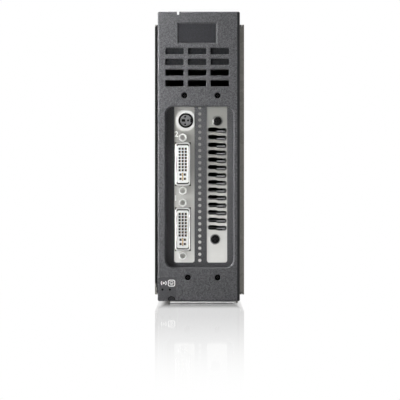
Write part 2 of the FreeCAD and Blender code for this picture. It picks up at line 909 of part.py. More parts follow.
def make_vent_baffle():
    """A bent sheet close behind the two upper rows of vents, held on the slot panel by its upper lip."""
    body = new_body("vent_baffle")
    low = "vent_high - vent_pitch_up - vent_height / 2 - panel_thick"
    high = "vent_high + vent_height / 2 + panel_thick"
    face = "skin_back + seam"
    profile = [
        (face, low),
        (f"{face} + panel_thick", low),
        (f"{face} + panel_thick", f"{high} - panel_thick"),
        ("panel_front", f"{high} - panel_thick"),
        ("panel_front", f"{high} + panel_thick * 4"),
        ("panel_front - panel_thick", f"{high} + panel_thick * 4"),
        ("panel_front - panel_thick", high),
        (face, high),
    ]
    vent_side = "(vent_pitch_across * 2 + vent_width) / 2 + seam"
    drawing = Drawing(body, "side", f"vent_middle - ({vent_side})")
    drawing.outline(profile)
    pad(body, drawing, f"2 * ({vent_side})")
    return node(body)


def make_front_screws():
    bezel_screws = []
    for number, (across, up) in enumerate(boss_places()):
        seat = (across, "panel_back", up)
        bezel_screws.append(bolt_back(f"bezel_screw_{number}", "y", seat, "board_screw_head / 2",
                                      "board_screw_tall", "screw_shank / 2", "panel_thick + bezel_depth / 3"))
    node(group("bezel_screws", bezel_screws))
    bracket_screws = []
    for number, (across, up) in enumerate(access_holes()):
        seat = (across, "panel_front", up)
        bracket_screws.append(screw(f"bracket_screw_{number}", "y", seat, "bracket_screw_head / 2",
                                    "screw_head_tall", "screw_shank / 2", "panel_thick + bracket_thick * 2"))
    node(group("bracket_screws", bracket_screws))


# Card bracket and what looks through it

def exhaust_screws():
    yield "slot_right + exhaust_nudge", "exhaust_screw_high"
    yield "slot_right + exhaust_low_nudge", "exhaust_screw_low"


def jack_places():
    for middle in ("video_high", "video_low"):
        for side in (-1, 1):
            yield "video_across", f"{middle} + {side} * jack_spacing / 2"


def make_card_bracket():
    body = new_body("card_bracket")
    drawing = Drawing(body, "front", "panel_back")
    drawing.rectangle(("bracket_left", "bracket_right"), ("bracket_low", "bracket_top"))
    pad(body, drawing, "bracket_thick")

    drawing = Drawing(body, "front", "panel_back")
    for middle in ("video_high", "video_low"):
        across = ("video_across - video_shell_width / 2 - fit", "video_across + video_shell_width / 2 + fit")
        up = (f"{middle} - video_shell_height / 2 - fit", f"{middle} + video_shell_height / 2 + fit")
        drawing.rectangle(across, up)
    for across, up in jack_places():
        drawing.circle(across, up, "jack_stud_wide / 2 + fit")
    drawing.circle("stereo_across", "stereo_rise", "stereo_ring / 2 + fit")
    for across, up in exhaust_screws():
        drawing.circle(across, up, "screw_shank / 2 + fit")
    for across, up in access_holes():
        drawing.circle(across, up, "screw_shank / 2 + fit")
    pocket(body, drawing, "bracket_thick")

    drawing = Drawing(body, "front", "panel_back")
    left, right = "exhaust_left_edge", "exhaust_left_edge + exhaust_width"
    bend_left, bend_right = "slot_right - exhaust_bend / 2", "slot_right + exhaust_bend / 2"
    low, high = "exhaust_low - exhaust_slot / 2", "exhaust_low + exhaust_slot / 2"
    drawing.outline([
        (f"{left} + exhaust_corner", f"{low} + exhaust_jog"),
        (bend_left, f"{low} + exhaust_jog"),
        (bend_right, f"{low} - exhaust_jog"),
        (f"{right} - exhaust_corner", f"{low} - exhaust_jog"),
        (right, f"{low} - exhaust_jog + exhaust_corner"),
        (right, f"{high} - exhaust_jog - exhaust_corner"),
        (f"{right} - exhaust_corner", f"{high} - exhaust_jog"),
        (bend_right, f"{high} - exhaust_jog"),
        (bend_left, f"{high} + exhaust_jog"),
        (f"{left} + exhaust_corner", f"{high} + exhaust_jog"),
        (left, f"{high} + exhaust_jog - exhaust_corner"),
        (left, f"{low} + exhaust_jog + exhaust_corner"),
    ])
    slots = pocket(body, drawing, "bracket_thick")
    repeat_up(body, slots, f"exhaust_pitch * {EXHAUST_COUNT - 1}", EXHAUST_COUNT)

    drawing = Drawing(body, "front", "bracket_back")
    ear = "bracket_thick * 3"
    for up in (("card_low", f"card_low + {ear}"),
               (f"card_low + card_height - {ear}", "card_low + card_height")):
        drawing.rectangle(("card_face", "card_face + bracket_thick"), up)
    pad(body, drawing, "bracket_tab")
    return node(body)


def make_video_socket(name, middle):
    """A video socket: a drawn metal shell round a white insert whose body stands on the card."""
    shell = new_body(name + "_shell")
    drawing = Drawing(shell, "front", "panel_back - video_reach")
    drawing.rectangle(("video_across - video_shell_width / 2", "video_across + video_shell_width / 2"),
                      (f"{middle} - video_shell_height / 2", f"{middle} + video_shell_height / 2"))
    pad(shell, drawing, "video_reach + bracket_thick")
    soften(shell, "Fillet", "video_shell_corner", set(), runs_deep)
    before = middles(shell)
    drawing = Drawing(shell, "front", "panel_back - video_reach")
    wall = "video_shell_wall"
    drawing.rectangle((f"video_across - video_shell_width / 2 + {wall}",
                       f"video_across + video_shell_width / 2 - {wall}"),
                      (f"{middle} - video_shell_height / 2 + {wall}",
                       f"{middle} + video_shell_height / 2 - {wall}"))
    pocket(shell, drawing, "video_reach + bracket_thick")
    soften(shell, "Fillet", "video_shell_corner - video_shell_wall", before, runs_deep)
    front_face = lies_at(min(corner.Y for corner in shell.Shape.Vertexes))
    soften(shell, "Fillet", "video_shell_roll", middles(shell) - before, front_face)
    node(shell)

    insert = new_body(name + "_insert")
    drawing = Drawing(insert, "front", "bracket_back")
    drawing.rectangle(("card_face", "card_face + video_body_width"),
                      (f"{middle} - video_body_height / 2", f"{middle} + video_body_height / 2"))
    pad(insert, drawing, "video_body_depth")
    before = middles(insert)
    tongue_front = "panel_back - video_reach + video_tongue_back"
    drawing = Drawing(insert, "front", tongue_front)
    drawing.rectangle(("video_across - video_tongue_width / 2", "video_across + video_tongue_width / 2"),
                      (f"{middle} - video_tongue_height / 2", f"{middle} + video_tongue_height / 2"))
    pad(insert, drawing, "video_reach - video_tongue_back + bracket_thick")
    soften(insert, "Fillet", "video_tongue_corner", before, runs_deep)

    drawing = Drawing(insert, "front", tongue_front)
    hole = "video_pin_hole / 2"
    lowest = f"{middle} - video_pin_pitch * 2"
    for column in range(VIDEO_PIN_COLUMNS):
        across = f"video_across + video_pin_pitch * ({column} - 1)"
        drawing.rectangle((f"{across} - {hole}", f"{across} + {hole}"),
                          (f"{lowest} - {hole}", f"{lowest} + {hole}"))
    pins = pocket(insert, drawing, "video_pin_deep")
    repeat_up(insert, pins, f"video_pin_pitch * {VIDEO_PIN_ROWS - 1}", VIDEO_PIN_ROWS)
    drawing = Drawing(insert, "front", tongue_front)
    cross = f"{middle} - video_pin_pitch * 4.1"
    drawing.rectangle((f"video_across - {hole} / 2", f"video_across + {hole} / 2"),
                      (f"{cross} - video_pin_pitch * 1.3", f"{cross} + video_pin_pitch * 1.3"))
    for side in (-1, 1):
        for level in (-1, 1):
            across = f"video_across + {side} * video_pin_pitch * 0.7"
            up = f"{cross} + {level} * video_pin_pitch * 0.7"
            drawing.rectangle((f"{across} - {hole}", f"{across} + {hole}"),
                              (f"{up} - {hole}", f"{up} + {hole}"))
    pocket(insert, drawing, "video_pin_deep")

    drawing = Drawing(insert, "front", "bracket_back")
    for side in (-1, 1):
        drawing.circle("video_across", f"{middle} + {side} * jack_spacing / 2", "jack_stud_wide / 2 + fit")
    pocket(insert, drawing, "jack_stud")
    node(insert)


def make_jackscrews():
    """Four hex standoffs, each with a threaded bore in front and a stud through the bracket."""
    jacks = []
    for number, (across, up) in enumerate(jack_places()):
        hexagon = doc.addObject("Part::Prism", f"jack_hex_{number}")
        hexagon.Polygon = 6
        hexagon.Placement.Rotation = AXIS_TURNS["y"]
        bind(hexagon, Circumradius="jack_flats / sqrt(3)", Height="jack_reach")
        place(hexagon, across, "panel_back - jack_reach", up)
        bore = rod(f"jack_bore_{number}", "y", (across, "panel_back - jack_reach", up),
                   "jack_bore_deep", "jack_thread / 2")
        stud = rod(f"jack_stud_{number}", "y", (across, "panel_back", up), "jack_stud", "jack_stud_wide / 2")
        jacks.append(fuse(f"jackscrew_{number}", cut(f"jack_{number}", hexagon, bore), stud))
    node(group("video_jackscrews", jacks))


def make_stereo_socket():
    """A round socket: a plated collar whose flange stops at the rib, and a keyed insert inside it."""
    ring_start = "panel_back - stereo_reach"
    collar = rod("stereo_collar", "y", ("stereo_across", ring_start, "stereo_rise"),
                 "stereo_reach + bracket_thick", "stereo_ring / 2")
    flange = rod("stereo_flange", "y", ("stereo_across", ring_start, "stereo_rise"), "stereo_reach",
                 "stereo_flange / 2")
    bore = rod("stereo_bore", "y", ("stereo_across", ring_start, "stereo_rise"),
               "stereo_reach + bracket_thick", "stereo_bore / 2")
    past_rib = block("stereo_past_rib", ("slot_left + window_width / 2 - fit", "stereo_across + stereo_flange"),
                     (ring_start, "panel_back"),
                     ("stereo_rise - stereo_flange", "stereo_rise + stereo_flange"))
    node(cut("stereo_socket_shell", fuse("stereo_ring", collar, flange), bore, past_rib))

    insert = new_body("stereo_socket_insert")
    drawing = Drawing(insert, "front", "bracket_back")
    drawing.rectangle(("card_face", "stereo_across + stereo_body / 2"),
                      ("stereo_rise - stereo_body / 2", "stereo_rise + stereo_body / 4"))
    pad(insert, drawing, "video_body_depth")
    drawing = Drawing(insert, "front", "bracket_back")
    drawing.circle("stereo_across", "stereo_rise", "stereo_bore / 2")
    pocket(insert, drawing, "stereo_groove")
    drawing = Drawing(insert, "front", ring_start)
    drawing.circle("stereo_across", "stereo_rise", "stereo_insert / 2")
    pad(insert, drawing, "stereo_reach + bracket_thick + stereo_groove")

    drawing = Drawing(insert, "front", ring_start)
    pin = "stereo_pin_hole / 2"
    for side in (-1, 1):
        drawing.circle("stereo_across - stereo_pin_shift", f"stereo_rise + {side} * stereo_pin_circle / 2", pin)
    drawing.circle("stereo_across + stereo_side_pin", "stereo_rise", pin)
    key = "stereo_across - stereo_key_shift"
    drawing.rectangle((f"{key} - stereo_key_wide / 2", f"{key} + stereo_key_wide / 2"),
                      ("stereo_rise - stereo_key_tall / 2", "stereo_rise + stereo_key_tall / 2"))
    rim = "stereo_across + stereo_insert / 2"
    drawing.rectangle((f"{rim} - stereo_notch", f"{rim} + stereo_notch"),
                      ("stereo_rise - stereo_pin_hole", "stereo_rise + stereo_pin_hole"))
    pocket(insert, drawing, "stereo_groove")
    node(insert)


def make_exhaust_screws():
    heads = []
    for number, (across, up) in enumerate(exhaust_screws()):
        heads.append(screw(f"exhaust_screw_{number}", "y", (across, "panel_back", up), "screw_head / 2",
                           "screw_head_tall", "screw_shank / 2", "bracket_thick + duct_frame"))
    node(group("exhaust_screws", heads))


# Graphics card and its cooler

def make_graphics_board():
    body = new_body("graphics_board")
    finger_start = "card_front + finger_front"
    finger_end = "card_front + finger_front + finger_length"
    drawing = Drawing(body, "side", "card_back")
    drawing.outline([
        ("card_front", "card_low"),
        (finger_start, "card_low"),
        (finger_start, "card_low - finger_deep"),
        (finger_end, "card_low - finger_deep"),
        (finger_end, "card_low"),
        ("card_rear", "card_low"),
        ("card_rear", "card_low + card_height"),
        ("card_front", "card_low + card_height"),
    ])
    pad(body, drawing, "card_thick")
    node(body)

    chip_low = "cooler_middle - chip_size / 2"
    node(block("graphics_chip", ("card_face", "card_face + chip_thick"),
               ("card_front + chip_front", "card_front + chip_front + chip_size"),
               (chip_low, f"{chip_low} + chip_size")))
    chips = []
    columns = ("chip_front - memory_size - memory_gap", "chip_front + chip_size + memory_gap")
    for column, along in enumerate(columns):
        for row in range(4):
            start = f"card_front + {along}"
            low = f"cooler_middle + memory_pitch * ({row} - 1.5) - memory_size / 2"
            chips.append(block(f"memory_chip_{column}_{row}", ("card_face", "card_face + memory_thick"),
                               (start, f"{start} + memory_size"), (low, f"{low} + memory_size")))
    node(group("memory_chips", chips))

    cans = []
    for number in range(5):
        up = f"card_low + card_can_pitch * ({number} + 1)"
        along = "card_rear - card_can_radius * 2"
        cans.append(rod(f"card_can_{number}", "x", ("card_face", along, up), "card_can_tall",
                        "card_can_radius"))
    node(group("card_capacitors", cans))


def make_heatsink():
    """A base plate on the chip with fins along the airflow, from the blower to the exhaust."""
    body = new_body("heatsink")
    start = "card_front + sink_front"
    drawing = Drawing(body, "side", "sink_face")
    drawing.rectangle((start, f"{start} + sink_length"), ("sink_low", "sink_high"))
    pad(body, drawing, "sink_base")
    drawing = Drawing(body, "side", "sink_face + sink_base")
    drawing.rectangle((start, f"{start} + sink_length"), ("sink_low", "sink_low + fin_thick"))
    fin = pad(body, drawing, "sink_reach - sink_base")
    repeat_up(body, fin, "sink_high - sink_low - fin_thick", FIN_COUNT)
    drawing = Drawing(body, "side", "slot_right")
    drawing.rectangle(("bracket_back + sink_nose", start), ("sink_low", "sink_low + fin_thick"))
    nose = pad(body, drawing, "sink_face + sink_reach - slot_right")
    repeat_up(body, nose, "sink_high - sink_low - fin_thick", FIN_COUNT)
    return node(body)


def make_shroud():
    """A thin moulding over the heatsink and blower, with a duct to the vented half of the bracket."""
    wall = "shroud_wall"
    step = "bracket_back + shroud_step"
    duct_left = "shroud_outer - shroud_duct"
    ends = ("shroud_low", "shroud_high")
    inner_ends = (f"shroud_low + {wall}", f"shroud_high - {wall}")
    shell = fuse("shroud_outside",
                 block("shroud_duct_out", (duct_left, "shroud_outer"), ("bracket_back", step), ends),
                 block("shroud_main_out", ("shroud_inner", "shroud_outer"), (step, "shroud_back"), ends))
    mouth = ("exhaust_low - exhaust_pitch / 2",
             f"exhaust_low + exhaust_pitch * {EXHAUST_COUNT - 0.5}")
    hollow = fuse("shroud_inside",
                  block("shroud_duct_in", (f"{duct_left} + {wall}", f"shroud_outer - {wall}"),
                        ("bracket_back + duct_frame", f"{step} + {wall}"), inner_ends),
                  block("shroud_main_in", ("shroud_inner", f"shroud_outer - {wall}"),
                        (f"{step} + {wall}", f"shroud_back - {wall}"), inner_ends),
                  block("shroud_mouth", ("exhaust_left_edge", "exhaust_left_edge + exhaust_width"),
                        ("bracket_back", "bracket_back + duct_frame"), mouth))
    inlet = rod("shroud_inlet", "x", (f"shroud_outer - {wall}", "blower_middle", "blower_rise"),
                wall, "blower_inlet")
    holes = []
    for number, (across, up) in enumerate(exhaust_screws()):
        holes.append(rod(f"shroud_screw_hole_{number}", "y", (across, "bracket_back", up), "duct_frame",
                         "screw_shank / 2 + fit"))
    for number, (along, up) in enumerate(shroud_screws()):
        holes.append(rod(f"shroud_post_hole_{number}", "x", (f"shroud_outer - {wall}", along, up), wall,
                         "board_screw_shank / 2 + fit"))
    node(cut("cooler_shroud", shell, hollow, inlet, *holes))

    screws = []
    for number, (along, up) in enumerate(shroud_screws()):
        screws.append(bolt_back(f"shroud_screw_{number}", "x", ("shroud_outer", along, up),
                                "board_screw_head / 2", "board_screw_tall", "board_screw_shank / 2",
                                "shroud_outer - card_face"))
    node(group("shroud_screws", screws))


def shroud_screws():
    inset = "(shroud_wall + board_screw_head / 2 + seam)"
    for along in (f"bracket_back + shroud_step + {inset}", f"shroud_back - {inset}"):
        for up in (f"shroud_low + {inset}", f"shroud_high - {inset}"):
            yield along, up


def make_blower():
    """The motor stands on the card; the rotor turns on its shaft inside the shroud."""
    stator = rod("blower_stator", "x", ("card_face", "blower_middle", "blower_rise"),
                 "motor_tall", "motor_radius")
    shaft = rod("blower_shaft", "x", ("card_face", "blower_middle", "blower_rise"),
                "motor_tall + blower_gap + blower_tall - blower_plate", "shaft_radius")
    node(fuse("blower_motor", stator, shaft))

    rotor = new_body("blower_rotor")
    drawing = Drawing(rotor, "side", "0")
    drawing.circle("0", "0", "blower_radius")
    pad(rotor, drawing, "blower_plate")
    drawing = Drawing(rotor, "side", "blower_plate")
    drawing.circle("0", "0", "blower_hub")
    pad(rotor, drawing, "blower_tall - blower_plate")
    drawing = Drawing(rotor, "side", "blower_plate")
    drawing.outline([
        ("blower_radius - blower_blade_deep", "0"),
        ("blower_radius - blower_blade_deep", "blower_blade"),
        ("blower_radius - blower_blade", "blower_blade * 4"),
        ("blower_radius - blower_blade", "blower_blade * 3"),
    ])
    blade = pad(rotor, drawing, "blower_tall - blower_plate")
    blades = rotor.newObject("PartDesign::PolarPattern", "rotor_blades")
    blades.Originals = [blade]
    spin_axis = next(item for item in rotor.Origin.OriginFeatures if item.Role == "X_Axis")
    blades.Axis = (spin_axis, [""])
    blades.Angle = 360
    blades.Occurrences = BLADE_COUNT
    rotor.Tip = blades
    doc.recompute()
    drawing = Drawing(rotor, "side", "0")
    drawing.circle("0", "0", "shaft_radius + fit")
    pocket(rotor, drawing, "blower_tall - blower_plate + seam")
    place(rotor, "rotor_base", "blower_middle", "blower_rise")
    node(rotor)


def make_power_lead():
    """The card's power socket, the lead's two plugs, the lead itself and the header on the main board."""
    across = ("card_face", "card_face + plug_width")
    up = ("plug_rise - plug_height / 2", "plug_rise + plug_height / 2")
    node(block("card_power_socket", across, ("card_rear - plug_depth", "card_rear"), up))
    card_plug = block("card_plug", across, ("card_rear", "plug_end"), up)
    board_plug = block("board_plug", across, ("header_plug", "header_front"), up)
    node(group("power_plugs", [card_plug, board_plug]))
    node(block("board_power_header", ("main_face", "card_face + plug_width"),
               ("header_front", "header_front + plug_depth"), up))

    doc.recompute()
    turn = math.radians(size("cable_turn"))
    reach = (board_plug.Placement.Base.y - card_plug.Placement.Base.y - size("plug_depth")) / 4
    bend = reach / math.sin(turn)
    rise = bend * (1 - math.cos(turn))
    start = FreeCAD.Vector(0, 0, 0)
    rising = FreeCAD.Vector(rise, reach, 0)
    falling = FreeCAD.Vector(rise, 3 * reach, 0)
    end = FreeCAD.Vector(0, 4 * reach, 0)
    half = turn / 2
    first = FreeCAD.Vector(bend * (1 - math.cos(half)), bend * math.sin(half), 0)
    crest = FreeCAD.Vector(2 * rise, 2 * reach, 0)
    last = FreeCAD.Vector(first.x, 4 * reach - first.y, 0)
    route = Part.Wire([
        Part.Arc(start, first, rising).toShape(),
        Part.Arc(rising, crest, falling).toShape(),
        Part.Arc(falling, last, end).toShape(),
    ])
    ring = Part.Wire([Part.makeCircle(size("cable_radius"), start, FreeCAD.Vector(0, 1, 0))])
    lead = doc.addObject("Part::Feature", "auxiliary_power_lead")
    lead.Shape = route.makePipeShell([ring], True, True)
    place(lead, "plug_across", "plug_end", "plug_rise")
    node(lead)


# Boards and what stands on them

def make_riser():
    riser = block("riser_plate", ("riser_left", "riser_left + riser_width"),
                  ("riser_start", "riser_end"), ("riser_low", "riser_top"))
    holes = []
    posts = []
    screws = []
    for number, (across, along) in enumerate(riser_fixings()):
        holes.append(rod(f"riser_hole_{number}", "z", (across, along, "riser_low"), "board_thick",
                         "board_screw_shank / 2 + fit"))
        posts.append(standoff(f"riser_post_{number}", "z", (across, along, "floor_top"), "riser_standoff"))
        screws.append(bolt_back(f"riser_screw_{number}", "z", (across, along, "riser_top"),
                                "board_screw_head / 2", "board_screw_tall", "board_screw_shank / 2",
                                "board_thick + riser_standoff / 2"))
    node(cut("riser_board", riser, *holes))
    node(block("riser_header", ("main_face", "main_face + header_width"),
               ("header_start", "riser_end"), ("riser_top", "riser_top + header_tall")))
    return posts, screws


def riser_fixings():
    inset = "board_screw_head"
    right_of_slot = f"edge_slot_middle + edge_slot_width / 2 + {inset}"
    for across in (right_of_slot, f"riser_left + riser_width - {inset}"):
        for along in (f"riser_start + {inset}", f"riser_end - {inset}"):
            yield across, along


def standoff(name, axis, start, length):
    post = rod(name + "_post", axis, start, length, "standoff_radius")
    bore = rod(name + "_bore", axis, start, length, "board_screw_shank / 2 + fit")
    return cut(name, post, bore)


def make_edge_slot():
    """The slot for the card's edge, with a lock clip between two ears at its rear end."""
    half = "edge_slot_width / 2"
    sides = (f"edge_slot_middle - {half}", f"edge_slot_middle + {half}")
    ear_end = "clip_middle + clip_deep / 2 + seam"
    housing = block("edge_slot_housing", sides, ("edge_slot_start", "edge_slot_end"),
                    ("riser_top", "edge_slot_top"))
    ears = []
    ear_sides = ((sides[0], f"{sides[0]} + clip_ear"), (f"{sides[1]} - clip_ear", sides[1]))
    for number, span in enumerate(ear_sides):
        ears.append(block(f"clip_ear_{number}", span, ("edge_slot_end", ear_end),
                          ("riser_top", "clip_axis + clip_deep")))
    groove = block("edge_slot_groove", ("card_back - fit * 2", "card_face + fit * 2"),
                   ("card_front + finger_front - seam", "card_front + finger_front + finger_length + seam"),
                   ("card_low - finger_deep - seam", "edge_slot_top"))
    pin_hole = rod("clip_pin_hole", "x", (sides[0], "clip_middle", "clip_axis"), "edge_slot_width",
                   "clip_pin + fit")
    node(cut("card_edge_slot", fuse("edge_slot_solid", housing, *ears), groove, pin_hole))

    clip_sides = ("edge_slot_middle - clip_width / 2", "edge_slot_middle + clip_width / 2")
    lever = block("clip_lever", clip_sides, ("clip_middle - clip_deep / 2", "clip_middle + clip_deep / 2"),
                  ("clip_axis", "card_low - seam * 2"))
    barrel = rod("clip_barrel", "x", (clip_sides[0], "clip_middle", "clip_axis"), "clip_width",
                 "clip_deep / 2")
    trunnion = rod("clip_trunnion", "x", (f"edge_slot_middle - {half}", "clip_middle", "clip_axis"),
                   "edge_slot_width", "clip_pin")
    node(fuse("slot_lock_clip", lever, barrel, trunnion))


def main_fixings():
    inset = "(board_screw_head + main_standoff)"
    last = f"main_stop - panel_flange - main_end - {inset}"
    for along in (f"main_start + {inset}", f"(main_start + {last}) / 2", last):
        for up in (f"main_low + {inset}", f"main_top - {inset}"):
            yield along, up


def make_main_board(riser_posts, riser_screws):
    board = block("main_plate", ("main_back", "main_face"), ("main_start", "main_stop"),
                  ("main_low", "main_top"))
    lower = block("main_foot", ("main_back", "main_face"), ("header_start", "riser_end"),
                  ("riser_top", "main_low"))
    holes = []
    posts = list(riser_posts)
    screws = list(riser_screws)
    for number, (along, up) in enumerate(main_fixings()):
        holes.append(rod(f"main_hole_{number}", "x", ("main_back", along, up), "board_thick",
                         "board_screw_shank / 2 + fit"))
        posts.append(standoff(f"main_post_{number}", "x", ("wall_inside", along, up), "main_standoff"))
        screws.append(bolt_back(f"main_screw_{number}", "x", ("main_face", along, up),
                                "board_screw_head / 2", "board_screw_tall", "board_screw_shank / 2",
                                "board_thick + main_standoff / 2"))
    node(cut("main_board", fuse("main_outline", board, lower), *holes))
    node(group("board_standoffs", posts))
    node(group("board_screws", screws))


def make_board_components():
    """Power modules, capacitors, chokes and the bridge chip with its heatsink, in the rear bay."""
    modules = []
    cans = []
    chokes = []
    for number in range(2):
        low = f"main_low + main_tall * (module_rise_share + module_pitch_share * {number})"
        modules.append(block(f"power_module_{number}", ("main_face", "main_face + module_thick"),
                             ("bay_start", "bay_start + module_depth"),
                             (low, f"{low} + main_tall * module_height_share")))
    for number in range(5):
        up = f"main_low + main_tall * (row_rise_share + can_pitch_share * {number})"
        along = "bay_row + can_radius"
        cans.append(rod(f"bulk_can_{number}", "x", ("main_face", along, up), "can_tall", "can_radius"))
    for number in range(4):
        low = f"main_low + main_tall * (row_rise_share + choke_pitch_share * {number})"
        start = "bay_row + can_radius * 2 + row_gap"
        chokes.append(block(f"choke_{number}", ("main_face", "main_face + choke_tall"),
                            (start, f"{start} + choke_side"), (low, f"{low} + choke_side")))
    node(group("power_modules", modules))
    node(group("bulk_capacitors", cans))
    node(group("power_chokes", chokes))

    middle = "(bay_start + module_depth + bridge_behind)"
    rise = "(main_top - bridge_sink_size / 2 - bridge_drop)"
    node(block("bridge_chip", ("main_face", "main_face + bridge_thick"),
               (f"{middle} - bridge_size / 2", f"{middle} + bridge_size / 2"),
               (f"{rise} - bridge_size / 2", f"{rise} + bridge_size / 2")))
    body = new_body("bridge_heatsink")
    drawing = Drawing(body, "side", "main_face + bridge_thick")
    low = f"{rise} - bridge_sink_size / 2"
    start = f"{middle} - bridge_sink_size / 2"
    drawing.rectangle((start, f"{start} + bridge_sink_size"), (low, f"{low} + bridge_sink_size"))
    pad(body, drawing, "bridge_sink_tall")
    drawing = Drawing(body, "side", "main_face + bridge_thick + sink_base")
    bands = 2 * BRIDGE_GAP_COUNT + 1
    for number in range(BRIDGE_GAP_COUNT):
        gap_low = f"{low} + bridge_sink_size * {2 * number + 1} / {bands}"
        drawing.rectangle((start, f"{start} + bridge_sink_size"),
                          (gap_low, f"{gap_low} + bridge_sink_size / {bands}"))
    pocket(body, drawing, "bridge_sink_tall - sink_base")
    node(body)


# Rear connectors and panel

def make_rear_connector(name, middle, height, columns):
    """A moulded receptacle on the main board's rear edge, with a slot for each column of contacts."""
    body = new_body(name)
    drawing = Drawing(body, "front", "rear - rear_reach - steel - main_end * 2")
    drawing.rectangle(("main_face", "main_face + signal_width"),
                      (f"{middle} - {height} / 2", f"{middle} + {height} / 2"))
    pad(body, drawing, "rear_reach + steel + main_end * 2")
    drawing = Drawing(body, "front", "rear - contact_deep")
    half = "contact_slot / 2"
    for column in range(columns):
        across = f"main_face + signal_width / 2 + contact_pitch * ({column} - {(columns - 1) / 2})"
        drawing.rectangle((f"{across} - {half}", f"{across} + {half}"),
                          (f"{middle} - {height} / 2 + contact_wall", f"{middle} + {height} / 2 - contact_wall"))
    pocket(body, drawing, "contact_deep")
    node(body)


def make_rear_panel():
    body = new_body("rear_panel")
    drawing = Drawing(body, "front", "rear_inside")
    right = "cover_inside - seam"
    notch_left = "cover_lip_left - seam"
    low = "floor_top"
    high = "case_high - steel"
    lip_room = "steel + seam * 2"
    drawing.outline([
        ("wall_inside", low),
        (notch_left, low),
        (notch_left, f"{low} + {lip_room}"),
        (right, f"{low} + {lip_room}"),
        (right, f"{high} - ({lip_room})"),
        (notch_left, f"{high} - ({lip_room})"),
        (notch_left, high),
        ("wall_inside", high),
    ])
    pad(body, drawing, "steel")

    drawing = Drawing(body, "front", "rear_inside")
    connectors = (("signal_high", "signal_height"), ("signal_low", "signal_height"),
                  ("power_rise", "power_height"))
    for middle, height in connectors:
        drawing.rectangle(("main_face - seam", "main_face + signal_width + seam"),
                          (f"{middle} - {height} / 2 - seam", f"{middle} + {height} / 2 + seam"))
    for row in range(3):
        for column in range(4):
            left = f"rear_vent_left + rear_vent_pitch * {column}"
            level = f"(guide_high + guide_low) / 2 + (rear_vent_height + rear_vent_bar) * ({row} - 1)"
            base = f"{level} - rear_vent_height / 2"
            drawing.rectangle((left, f"{left} + rear_vent_width"), (base, f"{base} + rear_vent_height"))
    for up in ("guide_high", "guide_low"):
        drawing.circle("guide_across", up, "guide_bore")
    pocket(body, drawing, "steel")

    drawing = Drawing(body, "front", "rear_inside - panel_flange")
    drawing.rectangle(("wall_inside", "wall_inside + steel"),
                      (f"{low} + panel_flange", f"{high} - panel_flange"))
    pad(body, drawing, "panel_flange")
    node(body)

    sockets = []
    for number, up in enumerate(("guide_high", "guide_low")):
        foot = ("guide_across", "case_back", up)
        post = rod(f"guide_post_{number}", "y", foot, "rear_reach", "guide_outer")
        bore = rod(f"guide_bore_{number}", "y", foot, "rear_reach", "guide_bore")
        sockets.append(cut(f"guide_socket_{number}", post, bore))
    node(group("guide_sockets", sockets))


# Case, rails, pull tab and cover

def draw_beads(drawing):
    """Two long pressed beads with chamfered ends, which stiffen a side of the case."""
    half = "bead_height / 2"
    start, stop = "case_front + bead_end", "case_back - bead_end"
    for middle in ("case_low + bead_inset", "case_high - bead_inset"):
        drawing.outline([
            (start, middle),
            (f"{start} + {half}", f"{middle} - {half}"),
            (f"{stop} - {half}", f"{middle} - {half}"),
            (stop, middle),
            (f"{stop} - {half}", f"{middle} + {half}"),
            (f"{start} + {half}", f"{middle} + {half}"),
        ])


def make_tray():
    body = new_body("chassis_tray")
    drawing = Drawing(body, "front", "case_front")
    edge = "cover_inside - seam"
    drawing.outline([
        ("case_left", "case_low"),
        (edge, "case_low"),
        (edge, "floor_top"),
        ("wall_inside", "floor_top"),
        ("wall_inside", "case_high - steel"),
        (edge, "case_high - steel"),
        (edge, "case_high"),
        ("case_left", "case_high"),
    ])
    pad(body, drawing, "case_back - case_front")
    drawing = Drawing(body, "front", "case_front")
    drawing.rectangle(("case_left", "bezel_left + bezel_rim * 2"), ("case_low", "case_high"))
    pad(body, drawing, "steel")
    drawing = Drawing(body, "top", "case_low")
    for across, along in panel_rivets():
        drawing.circle(across, along, "rivet_shank / 2 + fit")
    pocket(body, drawing, "case_height")
    drawing = Drawing(body, "side", "case_left")
    draw_beads(drawing)
    pocket(body, drawing, "bead_deep")
    drawing = Drawing(body, "side", "case_left")
    for along, up in main_fixings():
        drawing.circle(along, up, "standoff_radius")
    pocket(body, drawing, "clinch_deep")
    node(body)

    rivets = []
    for number, (across, along) in enumerate(panel_rivets()):
        thick = "steel + panel_thick"
        rivets.append(bolt_back(f"floor_rivet_{number}", "z", (across, along, "floor_top + panel_thick"),
                                "rivet_head / 2", "rivet_head_tall", "rivet_shank / 2", thick))
        rivets.append(screw(f"roof_rivet_{number}", "z", (across, along, "case_high - steel - panel_thick"),
                            "rivet_head / 2", "rivet_head_tall", "rivet_shank / 2", thick))
    node(group("panel_rivets", rivets))


